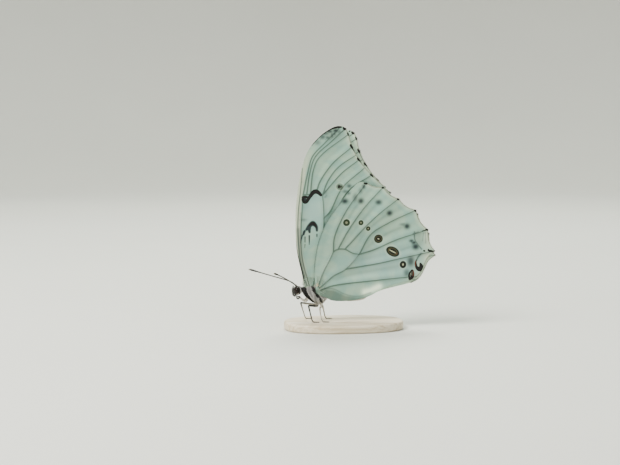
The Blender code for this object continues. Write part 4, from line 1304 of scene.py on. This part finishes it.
def coat_direction(places):
    """Which way the coat lies: back along the body and down on its sides, and forward and
    outwards on the head."""
    behind, across, above = (places - (HINGE_X, 0.0, HINGE_Z)).T
    ones = np.ones(len(places))
    down = smooth(np.abs(across), 0.8, 2.6) * (1 - smooth(behind, 2.0, 6.0))
    flow = np.stack([ones, 0.0 * ones, -1.1 * down], axis=1)
    forward = np.stack([
        -0.5 * ones, 0.25 * np.sign(across), 0.9 * np.sign(above - HEAD_MIDDLE)
    ], axis=1)
    return np.where((behind < HEAD_HAIR_END)[:, None], forward, flow)


def scaled_coat(name, colours, pale, cool, foot_tone):
    """Hair-like scales drawn out of dry chitin: soft, matt and slightly silky, with lighter
    tips and a little change of tone from tuft to tuft."""
    made, tree, shader = new_material(name, {
        "Roughness": 0.6, "IOR": 1.56, "Sheen Weight": 0.22, "Sheen Roughness": 0.4,
    })
    coat = node(tree, "Attribute", attribute_name="coat").outputs["Vector"]
    dark, buff, along = node(tree, "SeparateXYZ", {"Vector": coat}).outputs
    # Tone changes about every 0.5 mm.
    place = node(tree, "TexCoord").outputs["Object"]
    drift = node(tree, "TexNoise", {"Vector": place, "Scale": 1800.0, "Detail": 1.0})
    drifts = node(tree, "MapRange", {
        "Value": drift.outputs["Fac"], "From Min": 0.3, "From Max": 0.7, "To Max": 0.45,
    }).outputs["Result"]
    colour = pale
    for amount, top in ((drifts, cool), (buff, colours.buff), (dark, colours.black_brown)):
        colour = node(tree, "Mix", {
            0: amount, MIX_A: colour, MIX_B: top,
        }, data_type="RGBA").outputs[MIX_OUT]
    foot = node(tree, "MapRange", {
        "Value": along, "From Max": 0.6, "To Min": foot_tone,
    }).outputs["Result"]
    shaded = node(tree, "Mix", {
        0: 1.0, MIX_A: colour, MIX_B: foot,
    }, data_type="RGBA", blend_type="MULTIPLY").outputs[MIX_OUT]
    tree.links.new(shaded, shader.inputs["Base Color"])
    return made


def cornea(name, colours):
    """The eye's cornea, clear chitin over dark pigment in thousands of facets: nearly black
    with a wet shine, and finely dimpled."""
    made, tree, shader = new_material(name, {
        "Roughness": 0.24, "IOR": 1.5, "Specular IOR Level": 0.3, "Coat Weight": 0.12,
        "Coat Roughness": 0.08,
    })
    place = node(tree, "TexCoord").outputs["Object"]
    # Facets are 0.03 mm; drawn at 0.09 mm so that they show.
    cells = node(tree, "TexVoronoi", {"Vector": place, "Scale": 11000.0})
    mottle = node(tree, "TexNoise", {"Vector": place, "Scale": 900.0, "Detail": 2.0})
    colour = node(tree, "Mix", {
        0: mottle.outputs["Fac"], MIX_A: colours.eye, MIX_B: colours.eye_light,
    }, data_type="RGBA").outputs[MIX_OUT]
    tree.links.new(colour, shader.inputs["Base Color"])
    bump = node(tree, "Bump", {
        "Height": cells.outputs["Distance"], "Strength": 0.35, "Distance": 0.00002,
    })
    tree.links.new(bump.outputs["Normal"], shader.inputs["Normal"])
    return made


def cuticle(name, colours, pale, roughness):
    """Bare cuticle of hardened chitin, naturally grown: a low waxy shine, darker in the joints
    and finely pitted, with pale scales where its layer says so."""
    made, tree, shader = new_material(name, {"Roughness": roughness, "IOR": 1.56})
    coat = node(tree, "Attribute", attribute_name="coat").outputs["Vector"]
    dark, buff, _ = node(tree, "SeparateXYZ", {"Vector": coat}).outputs
    place = node(tree, "TexCoord").outputs["Object"]
    # Fine pits and scale sockets 0.12 mm apart.
    pits = node(tree, "TexVoronoi", {"Vector": place, "Scale": 8000.0})
    tone = node(tree, "TexNoise", {"Vector": place, "Scale": 1500.0, "Detail": 2.0})
    colour = pale
    for amount, top in ((buff, colours.buff), (dark, colours.black_brown)):
        colour = node(tree, "Mix", {
            0: amount, MIX_A: colour, MIX_B: top,
        }, data_type="RGBA").outputs[MIX_OUT]
    light = node(tree, "MapRange", {
        "Value": tone.outputs["Fac"], "From Min": 0.3, "From Max": 0.7,
        "To Min": 0.7, "To Max": 1.15,
    }).outputs["Result"]
    shaded = node(tree, "Mix", {
        0: 1.0, MIX_A: colour, MIX_B: light,
    }, data_type="RGBA", blend_type="MULTIPLY").outputs[MIX_OUT]
    tree.links.new(shaded, shader.inputs["Base Color"])
    bump = node(tree, "Bump", {
        "Height": pits.outputs["Distance"], "Strength": 0.4, "Distance": 0.00003,
    })
    tree.links.new(bump.outputs["Normal"], shader.inputs["Normal"])
    return made


def limed_maple(name, colours):
    """Maple turned and sanded, then limed and waxed: pale, with a close soft grain, faint
    pores filled white and a low satin sheen."""
    made, tree, shader = new_material(name, {"Roughness": 0.5})
    place = node(tree, "TexCoord").outputs["Object"]
    # Growth lines run along the base, about 1.4 mm apart across it.
    turned = node(tree, "Mapping", {"Vector": place, "Scale": (40.0, 700.0, 700.0)})
    rings = node(tree, "TexNoise", {
        "Vector": turned.outputs[0], "Scale": 1.0, "Detail": 5.0, "Roughness": 0.6,
        "Distortion": 0.6,
    })
    pores = node(tree, "Mapping", {"Vector": place, "Scale": (900.0, 7000.0, 7000.0)})
    pore = node(tree, "TexNoise", {"Vector": pores.outputs[0], "Scale": 1.0, "Detail": 2.0})
    line = node(tree, "MapRange", {
        "Value": rings.outputs["Fac"], "From Min": 0.42, "From Max": 0.62,
    }, interpolation_type="SMOOTHSTEP").outputs["Result"]
    fleck = node(tree, "MapRange", {
        "Value": pore.outputs["Fac"], "From Min": 0.6, "From Max": 0.75, "To Max": 0.5,
    }).outputs["Result"]
    colour = colours.wood
    for amount, top in ((line, colours.wood_line), (fleck, colours.wood_lime)):
        colour = node(tree, "Mix", {
            0: amount, MIX_A: colour, MIX_B: top,
        }, data_type="RGBA").outputs[MIX_OUT]
    tree.links.new(colour, shader.inputs["Base Color"])
    bump = node(tree, "Bump", {
        "Height": pore.outputs["Fac"], "Strength": 0.25, "Distance": 0.00005,
    })
    tree.links.new(bump.outputs["Normal"], shader.inputs["Normal"])
    return made


def stage_paint(name, colours):
    """Matt emulsion on a smooth plaster stage: pale, even and without shine."""
    made, tree, shader = new_material(name, {"Roughness": 0.9, "Specular IOR Level": 0.2})
    place = node(tree, "TexCoord").outputs["Object"]
    roller = node(tree, "TexNoise", {"Vector": place, "Scale": 6.0, "Detail": 3.0})
    colour = node(tree, "Mix", {
        0: roller.outputs["Fac"], MIX_A: colours.floor, MIX_B: colours.floor_light,
    }, data_type="RGBA").outputs[MIX_OUT]
    tree.links.new(colour, shader.inputs["Base Color"])
    return made


def body_hair(colours):
    """The pale silky hair of head, body and legs."""
    return ready(
        "silky_scale_hair", scaled_coat, colours, colours.white_hair, colours.lilac, 0.72
    )


def wing_hair(colours):
    """The pearly hair at a wing's foot and round its edge."""
    return ready(
        "pearl_scale_hair", scaled_coat, colours, colours.pearl_warm, colours.pearl, 0.95
    )


def feeler_cuticle(colours):
    """The dark bare cuticle of the feelers and the tongue."""
    return ready("feeler_cuticle", cuticle, colours, colours.buff, 0.42)


def colour_property(name, description, default):
    """A colour that can be changed in the sidebar, from its sRGB hex value."""
    return bpy.props.FloatVectorProperty(
        name=name, description=description, subtype="COLOR", size=4, min=0.0, max=1.0,
        default=linear(default),
    )


class MorphoColours(bpy.types.PropertyGroup):
    """Colours of the animal, its base and the stage."""

    pearl: colour_property("Pearl", "Scales over most of the wings", "8DACA0")
    pearl_warm: colour_property("Warm pearl", "Warmer drifts in the wings' white", "9DB5A4")
    cream: colour_property("Cream", "Costal band, halos and margins", "BFC7B3")
    cool: colour_property("Cool pearl", "Bluer pearl of the fore cell and rear", "8FAEAF")
    vein: colour_property("Vein", "Scales along the veins", "51665B")
    smoke: colour_property("Smoke", "Soft grey marks of the wings", "2A3538")
    tan: colour_property("Tan", "Thin line round the margin", "6C6854")
    olive: colour_property("Olive", "Dark of an eyespot", "1D1F17")
    moss: colour_property("Moss", "Ground of a soft eyespot", "28341F")
    ochre: colour_property("Ochre", "Thin ring in an eyespot", "4E4B2F")
    slit: colour_property("Slit", "Pale middle of an eyespot", "B9BB9C")
    rust: colour_property("Rust", "Red brown of the inner corner", "5B2E1F")
    black_brown: colour_property("Black brown", "Dark marks, stripes and feelers", "161413")
    white_hair: colour_property("White hair", "Pale coat of head and thorax", "E2E0DA")
    lilac: colour_property("Lilac", "Cool tone in the pale coat", "C3C0CC")
    buff: colour_property("Buff", "Warm tone of the abdomen and fringes", "CFC3A6")
    eye: colour_property("Eye", "Dark of the eyes", "0B0706")
    eye_light: colour_property("Eye glow", "Brown in the eyes", "26160E")
    wood: colour_property("Wood", "Limed maple of the base", "D9CFBD")
    wood_line: colour_property("Wood line", "Growth lines of the base", "C3B59C")
    wood_lime: colour_property("Lime", "Filled pores of the base", "ECE7DC")
    floor: colour_property("Floor", "Paint of the stage", "CFCFCA")
    floor_light: colour_property("Floor light", "Lighter paint of the stage", "D5D5D0")


def length_property(name, description, default, low, high):
    """A length that can be changed in the sidebar, from its millimetres."""
    return bpy.props.FloatProperty(
        name=name, description=description, subtype="DISTANCE", unit="LENGTH", precision=5,
        default=default * MM, min=low * MM, max=high * MM,
    )


class MorphoSizes(bpy.types.PropertyGroup):
    """Sizes of the surface detail that isn't set by the solids."""

    thickness: length_property("Membrane", "Thickness of a wing membrane", 0.16, 0.05, 0.5)
    vein_width: length_property("Vein width", "Width of a vein at its root", 0.52, 0.1, 1.0)
    vein_height: length_property("Vein height", "How far a vein stands out", 0.17, 0.0, 0.4)
    sag: length_property("Sag", "How far the membrane dips between veins", 0.24, 0.0, 0.4)
    mesh_step: length_property("Mesh step", "Spacing of the membrane's points", 0.55, 0.3, 3.0)
    mark_step: length_property("Mark step", "Spacing of points in the marks", 0.2, 0.1, 1.0)
    coat_length: length_property("Coat length", "Length of the thorax's hair", 0.95, 0.3, 2.0)
    coat_count: bpy.props.IntProperty(
        name="Coat count", description="Tufts on the thorax", default=5200, min=100, max=15000,
    )


class MORPHO_OT_wings(bpy.types.Operator):
    """Adds the four wing membranes and their fringes"""

    bl_idname = "morpho.wings"
    bl_label = "Wings"

    def execute(self, context):
        colours, sizes = context.scene.morpho_colours, context.scene.morpho_sizes
        membrane = ready("pearl_scaled_membrane", wing_membrane, colours)
        hair = wing_hair(colours)
        rng = np.random.default_rng(SEED)
        for pair in ("fore", "hind"):
            plan = wing_plan(pair, sizes)
            for side in ("left", "right"):
                add_wing(pair, side, plan, sizes, membrane)
                parts = fringe(pair, side, rng)
                parts.append(root_hairs(pair, side, rng))
                add_coat(f"{pair}wing_{side}_fringe", parts, hair, "wing")
        return {"FINISHED"}


class MORPHO_OT_body(bpy.types.Operator):
    """Adds the skin of head, thorax and abdomen, and the coat that covers it"""

    bl_idname = "morpho.body"
    bl_label = "Body"

    def execute(self, context):
        colours, sizes = context.scene.morpho_colours, context.scene.morpho_sizes
        hair = body_hair(colours)
        rng = np.random.default_rng(SEED + 1)
        rings = body_rings()
        tone = body_tone(rings.reshape(-1, 3))
        add_rings(
            "body_skin", rings, hair, "body", stands_for=("head", "thorax", "abdomen"),
            layers={"coat": np.column_stack([tone, np.full(len(tone), 0.3)])},
        )
        behind = rings[:, 0, 0] - HINGE_X
        # Each coat's rows of the skin, count of tufts, length, width, lift and slot.
        coats = (
            ("thorax_coat", (behind >= -4.9) & (behind <= 4.3), sizes.coat_count,
             sizes.coat_length / MM, 0.17, (0.25, 0.6), "body"),
            ("head_coat", behind < -4.8, 1500, 0.42, 0.1, (0.35, 0.9), "head"),
            ("abdomen_coat", behind > 4.2, 4200, 0.5, 0.16, (0.06, 0.25), "body"),
        )
        for name, rows, count, length, width, lift, slot in coats:
            places, normals, _, shares = scatter(rings[rows], count, rng)
            keep = self.may_grow(places, name == "head_coat")
            places, normals, shares = places[keep], normals[keep], shares[keep]
            amount = len(places)
            lie = coat_direction(places) + rng.normal(0, 0.16, (amount, 3))
            stretch = rng.uniform(0.65, 1.15, amount)
            parts = [tufts(
                places, normals, lie, length * stretch, width,
                rng.uniform(*lift, amount), 0.35, shares, body_tone(places),
            )]
            if name == "thorax_coat":
                parts.append(self.shoulder_hair(rings[rows], rng))
            add_coat(name, parts, hair, slot)
        return {"FINISHED"}

    def may_grow(self, places, on_head):
        """Whether hair may grow at each place: neither on a hind wing's seat nor on an eye."""
        behind, across, above = (places - (HINGE_X, 0.0, HINGE_Z)).T
        across = np.abs(across)
        on_seat = (behind > BARE_SPAN[0]) & (behind <= BARE_SPAN[1])
        on_seat &= (across > BARE_ACROSS) & (above > BARE_FLOOR)
        from_eye = np.hypot(
            (behind - EYE_PLACE[0]) / EYE_RADII[0], (above - EYE_PLACE[2]) / EYE_RADII[2]
        )
        on_eye = (from_eye <= 1.0) & (across >= FACE_HALF_WIDTH) & on_head
        return ~on_seat & ~on_eye

    def shoulder_hair(self, rings, rng):
        """Long scales of the shoulder plates, which stand up over the fore wings' feet."""
        def wanted(places):
            behind, across, above = (places - (HINGE_X, 0.0, HINGE_Z)).T
            on_plate = (behind > SHOULDER_SPAN[0]) & (behind < SHOULDER_SPAN[1])
            on_plate &= (above > SHOULDER_HEIGHTS[0]) & (above < SHOULDER_HEIGHTS[1])
            return on_plate & (np.abs(across) > SHOULDER_ACROSS)

        places, _, _, shares = scatter(rings, SHOULDER_TRIES, rng, wanted)
        outward = np.sign(places[:, 1:2]) * (0.0, 1.0, 0.0)
        lie = np.tile((0.3, 0.0, 1.0), (len(places), 1)) + rng.normal(0, 0.1, places.shape)
        return tufts(
            places, outward, lie, rng.uniform(0.6, 1.5, len(places)), 0.12,
            rng.uniform(0.1, 0.3, len(places)), 0.3, shares, body_tone(places),
        )


class MORPHO_OT_eyes(bpy.types.Operator):
    """Adds the two faceted eyes"""

    bl_idname = "morpho.eyes"
    bl_label = "Eyes"

    def execute(self, context):
        colours = context.scene.morpho_colours
        material = ready("faceted_cornea", cornea, colours)
        turn = np.linspace(0.03, math.pi - 0.03, EYE_ROWS)[:, None]
        angle = np.linspace(0, 2 * math.pi, EYE_SIDES, endpoint=False)
        level, wide = np.cos(turn) * np.ones(len(angle)), np.sin(turn)
        for side, sign in SIGN.items():
            rings = np.stack([
                HINGE_X + EYE_PLACE[0] + EYE_RADII[0] * wide * np.cos(angle),
                sign * (EYE_PLACE[1] + EYE_RADII[1] * level),
                HINGE_Z + EYE_PLACE[2] + EYE_RADII[2] * wide * np.sin(angle) * sign,
            ], axis=-1)
            add_rings(f"eye_{side}_cornea", rings, material, "eye", stands_for=(f"eye_{side}",))
        return {"FINISHED"}


class MORPHO_OT_feelers(bpy.types.Operator):
    """Adds the jointed feelers with their slight clubs"""

    bl_idname = "morpho.feelers"
    bl_label = "Feelers"

    def execute(self, context):
        material = feeler_cuticle(context.scene.morpho_colours)
        for side, knots in ANTENNAE.items():
            path = spline(knots, SEGMENT_LENGTH / 6)
            steps = np.linalg.norm(np.diff(path, axis=0), axis=1)
            length = np.concatenate([[0.0], np.cumsum(steps)])
            share = length / length[-1]
            in_segment = length / SEGMENT_LENGTH % 1.0
            swell = 0.95 + 0.13 * np.sin(math.pi * in_segment)
            club = smooth(share, *CLUB_GROWTH)
            radii = (SHAFT_RADIUS + (CLUB_RADIUS - SHAFT_RADIUS) * club) * swell
            radii *= 1.0 - 0.65 * smooth(share, 0.95, 1.0)
            radii += JOINT_SWELL * np.exp(-((length - JOINT_PLACE) / JOINT_HALF_LENGTH) ** 2)
            rings = capped(sweep(path, radii, LIMB_SIDES) + (0.0, 0.0, SOLE_Z))
            pale = 0.22 * (1 - smooth(np.abs(in_segment - 0.06), 0.0, 0.14))
            pale *= 1 - smooth(share, 0.6, 0.8)
            dark = 1.0 - pale - 0.25 * smooth(share, 0.93, 1.0)
            add_rings(
                f"feeler_{side}", rings, material, "antenna", stands_for=(f"antenna_{side}",),
                layers={"coat": limb_layer(dark, 0.6)},
            )
        return {"FINISHED"}


class MORPHO_OT_mouthparts(bpy.types.Operator):
    """Adds the hairy palps and the coiled feeding tube between them"""

    bl_idname = "morpho.mouthparts"
    bl_label = "Mouthparts"

    def execute(self, context):
        colours = context.scene.morpho_colours
        hair = body_hair(colours)
        rng = np.random.default_rng(SEED + 2)
        for side, sign in SIGN.items():
            knots = np.array(PALP) * (1.0, sign, 1.0) + (0.0, 0.0, SOLE_Z)
            rows = spline(np.column_stack([knots, PALP_RADII]), 0.12)
            rings = sweep(rows[:, :3], rows[:, 3] * PALP_STEM, LIMB_SIDES)
            stem = capped(rings)
            layer = np.tile((0.95, 0.1, 0.4), (stem.shape[0] * LIMB_SIDES, 1))
            add_rings(
                f"palp_{side}_stem", stem, hair, "head", stands_for=(f"palp_{side}",),
                layers={"coat": layer},
            )
            places, normals, run, shares = scatter(rings, PALP_HAIRS, rng)
            lie = run + rng.normal(0, 0.15, run.shape)
            dark = rng.uniform(0.8, 1.0, len(places))
            values = np.column_stack([dark, rng.uniform(0, 0.2, len(dark))])
            part = tufts(
                places, normals, lie, rng.uniform(0.22, 0.42, len(places)), 0.08,
                rng.uniform(0.25, 0.6, len(places)), 0.3, shares, values,
            )
            add_coat(f"palp_{side}_hair", [part], hair, "head")
        share = np.linspace(0.0, 1.0, 130)
        angle = math.pi + share * COIL_TURNS * 2 * math.pi
        radius = COIL_RADII[0] + (COIL_RADII[1] - COIL_RADII[0]) * share
        coil = np.stack([
            COIL_CENTRE[0] + radius * np.cos(angle), np.zeros_like(angle),
            SOLE_Z + COIL_CENTRE[1] + radius * np.sin(angle),
        ], axis=1)
        mouth = [(COIL_CENTRE[0] - ahead, 0.0, SOLE_Z + z) for ahead, z in COIL_LEAD]
        path = np.concatenate([spline((*mouth, coil[0]), 0.08)[:-1], coil])
        ribs = 1.0 + 0.07 * np.sin(np.arange(len(path)) * 1.6)
        taper = 1.0 - 0.35 * np.linspace(0, 1, len(path))
        rings = capped(sweep(path, COIL_TUBE * ribs * taper, 12))
        layer = np.tile((0.98, 0.8, 0.0), (rings.shape[0] * rings.shape[1], 1))
        add_rings(
            "tongue_coil", rings, feeler_cuticle(colours), "antenna",
            stands_for=("proboscis",), layers={"coat": layer},
        )
        return {"FINISHED"}


class MORPHO_OT_legs(bpy.types.Operator):
    """Adds the jointed legs with their scales, spines and claws"""

    bl_idname = "morpho.legs"
    bl_label = "Legs"

    def execute(self, context):
        colours = context.scene.morpho_colours
        hair = body_hair(colours)
        skin = ready("leg_cuticle", cuticle, colours, colours.white_hair, 0.5)
        rng = np.random.default_rng(SEED + 3)
        for name, rows in LEGS.items():
            walking = not name.startswith("foreleg")
            knots = np.array(rows) + (0.0, 0.0, SOLE_Z, 0.0, 0.0)
            path, radii, dark = self.limb(knots, walking)
            rings = sweep(path, radii, LIMB_SIDES)
            add_rings(
                f"{name}_limb", capped(rings), skin, "leg", stands_for=(name,),
                layers={"coat": limb_layer(dark, 0.35)},
            )
            count, shortest, longest = LEG_HAIRS["walking" if walking else "short"]
            places, normals, run, shares = scatter(rings, count, rng)
            tone = np.interp(shares[:, 0], np.linspace(0, 1, len(dark)), dark)
            values = np.column_stack([tone, rng.uniform(0.1, 0.5, len(tone))])
            clear = places[:, 2] > BASE_TOP + HAIR_CLEARANCE
            length = rng.uniform(shortest, longest, len(places))
            parts = [tufts(
                places[clear], normals[clear], run[clear] + rng.normal(0, 0.12, run[clear].shape),
                length[clear], 0.07, rng.uniform(0.12, 0.4, clear.sum()), 0.2,
                shares[clear], values[clear],
            )]
            if walking:
                parts += self.spines(knots)
            add_coat(f"{name}_hair", parts, hair, "leg")
        return {"FINISHED"}

    def limb(self, knots, walking):
        """A leg's smoothed path, with the radius and the darkness at each point: each part
        swells between its joints, and a walking leg's foot has five."""
        path, radii, dark = [], [], []
        last = len(knots) - 2
        for i, (start, end) in enumerate(zip(knots, knots[1:])):
            is_foot = walking and i == last
            joints, bulge = (5, 0.26) if is_foot else (1, 0.3)
            count = max(6, round(float(np.linalg.norm((end - start)[:3])) / LEG_STEP))
            for k in range(count + (i == last)):
                t = k / count
                row = start + (end - start) * t
                belly = math.sin(math.pi * (t * joints % 1.0)) ** 0.6
                path.append(row[:3])
                radii.append(row[3] * (0.78 + bulge * belly))
                dark.append(row[4] + 0.35 * (1 - belly) * (i > 0))
        path = np.array(path)
        for _ in range(2):
            path[1:-1] = path[1:-1] * 0.5 + (path[:-2] + path[2:]) * 0.25
        return path, radii, np.clip(dark, 0.0, 1.0)

    def spines(self, knots):
        """Two rows of short spines on the shin and foot, and a pair of claws."""
        parts = []
        for start, end, count in ((knots[-4], knots[-3], 9), (knots[-2], knots[-1], 10)):
            run = unit((end - start)[:3])
            across = unit(np.cross(run, (0.0, 0.0, 1.0)))
            share = np.tile(np.linspace(0.15, 0.95, count), 2)[:, None]
            side = np.repeat((1.0, -1.0), count)[:, None]
            roots = start[:3] + (end - start)[:3] * share + across * side * start[3] * 0.7
            values = np.tile((0.95, 0.2), (2 * count, 1))
            shares = np.column_stack([share[:, 0], 0.5 + 0.2 * side[:, 0]])
            parts.append(tufts(
                roots, across * side, np.tile(run, (2 * count, 1)), 0.3, 0.07, 0.7, 0.0,
                shares, values,
            ))
        foot = knots[-1][:3]
        run = unit((knots[-1] - knots[-2])[:3])
        across = unit(np.cross(run, (0.0, 0.0, 1.0)))
        lie = np.array([run + across * 0.5, run - across * 0.5])
        parts.append(tufts(
            np.array([foot, foot]), np.tile((0.0, 0.0, 1.0), (2, 1)), lie, 0.42, 0.11, 0.3, 1.1,
            np.array([(0.98, 0.4), (0.98, 0.6)]), np.tile((1.0, 0.0), (2, 1)),
        ))
        return parts


class MORPHO_OT_base(bpy.types.Operator):
    """Adds the plain turned base"""

    bl_idname = "morpho.base"
    bl_label = "Base"

    def execute(self, context):
        material = ready("limed_waxed_maple", limed_maple, context.scene.morpho_colours)
        angle = np.linspace(0, 2 * math.pi, BASE_SIDES, endpoint=False)
        wide, deep = squarish(angle, BASE_SQUARENESS)
        turn = np.linspace(0, math.pi / 2, 6)
        ease = [(BASE_EASE * (1 - math.sin(t)), BASE_EASE * (1 - math.cos(t))) for t in turn]
        levels = [(z, inset) for inset, z in ease]
        levels += [(BASE_TOP - z, inset) for inset, z in reversed(ease)]
        rings = np.array([
            np.stack([
                wide * (BASE_LENGTH / 2 - inset), deep * (BASE_WIDTH / 2 - inset),
                np.full_like(wide, height),
            ], axis=1) for height, inset in levels
        ])
        add_rings(
            "turned_base", rings, material, "base", stands_for=("stand_base",), sharp=35.0,
            shift=0.0,
        )
        return {"FINISHED"}


class MORPHO_OT_stage(bpy.types.Operator):
    """Adds the pale stage, the soft lights and the camera"""

    bl_idname = "morpho.stage"
    bl_label = "Stage"

    def execute(self, context):
        scene = context.scene
        turn = np.linspace(0, math.pi / 2, 14)
        flat = STAGE_RADIUS - STAGE_CURVE
        profile = [(0.02, 0.0), (STAGE_RADIUS * 0.3, 0.0), (STAGE_RADIUS * 0.64, 0.0)]
        profile += [
            (flat + STAGE_CURVE * math.sin(t), STAGE_CURVE * (1 - math.cos(t))) for t in turn
        ]
        profile.append((STAGE_RADIUS, STAGE_WALL))
        angle = np.linspace(0, 2 * math.pi, STAGE_SIDES, endpoint=False)
        points = [
            (r * math.cos(a) * MM, r * math.sin(a) * MM, z * MM) for r, z in profile for a in angle
        ]
        faces = [face[::-1] for face in grid_faces(len(profile), STAGE_SIDES)[:-1]]
        paint = ready("matt_stage_emulsion", stage_paint, scene.morpho_colours)
        add_object("stage_floor", points, faces, paint)

        for name, azimuth, elevation, distance, size, power, tint in SOFTBOXES:
            light = bpy.data.lights.new(name, "AREA")
            light.shape = "SQUARE"
            light.size = size * MM
            light.energy = power
            light.color = linear(tint)[:3]
            self.stand(name, light, azimuth, elevation, distance)
        world = bpy.data.worlds.new("studio_air")
        world.use_nodes = True
        air = world.node_tree.nodes["Background"]
        air.inputs["Color"].default_value = linear(AIR_COLOUR)
        air.inputs["Strength"].default_value = AIR_STRENGTH
        scene.world = world
        scene.view_settings.look = "AgX - Medium High Contrast"

        camera = bpy.data.cameras.new("camera")
        camera.lens = CAMERA_LENS
        camera.sensor_width = SENSOR_WIDTH
        camera.clip_start = 0.01
        camera.clip_end = 10.0
        scene.camera = self.stand(
            "camera", camera, CAMERA_AZIMUTH, CAMERA_ELEVATION, CAMERA_DISTANCE
        )
        return {"FINISHED"}

    def stand(self, name, data, azimuth, elevation, distance):
        """Stands a lamp or a camera round the middle of the animal, turned to it."""
        a, e = math.radians(azimuth), math.radians(elevation)
        back = Vector((math.sin(a) * math.cos(e), -math.cos(a) * math.cos(e), math.sin(e)))
        made = bpy.data.objects.new(name, data)
        made.location = Vector(CAMERA_AIM) * MM + back * distance * MM
        made.rotation_mode = "QUATERNION"
        made.rotation_quaternion = (-back).to_track_quat("-Z", "Y")
        bpy.context.scene.collection.objects.link(made)
        return made


STEPS = (
    MORPHO_OT_stage, MORPHO_OT_base, MORPHO_OT_wings, MORPHO_OT_body, MORPHO_OT_eyes,
    MORPHO_OT_feelers, MORPHO_OT_mouthparts, MORPHO_OT_legs,
)


class MORPHO_PT_sidebar(bpy.types.Panel):
    """Lists the butterfly's pieces, sizes and colours"""

    bl_label = "White Morpho"
    bl_idname = "MORPHO_PT_sidebar"
    bl_space_type = "VIEW_3D"
    bl_region_type = "UI"
    bl_category = "Morpho"

    def draw(self, context):
        for step in STEPS:
            self.layout.operator(step.bl_idname)
        for group in (context.scene.morpho_sizes, context.scene.morpho_colours):
            box = self.layout.box()
            for name in group.__annotations__:
                box.prop(group, name)


CLASSES = (MorphoColours, MorphoSizes, *STEPS, MORPHO_PT_sidebar)


def register():
    """Adds the panel, the operators and the settings."""
    for one in CLASSES:
        bpy.utils.register_class(one)
    bpy.types.Scene.morpho_colours = bpy.props.PointerProperty(type=MorphoColours)
    bpy.types.Scene.morpho_sizes = bpy.props.PointerProperty(type=MorphoSizes)


def unregister():
    """Removes them again."""
    del bpy.types.Scene.morpho_sizes
    del bpy.types.Scene.morpho_colours
    for one in reversed(CLASSES):
        bpy.utils.unregister_class(one)


def main():
    """Makes every piece in order."""
    register()
    for step in STEPS:
        group, name = step.bl_idname.split(".")
        getattr(getattr(bpy.ops, group), name)()


if __name__ == "__main__":
    main()
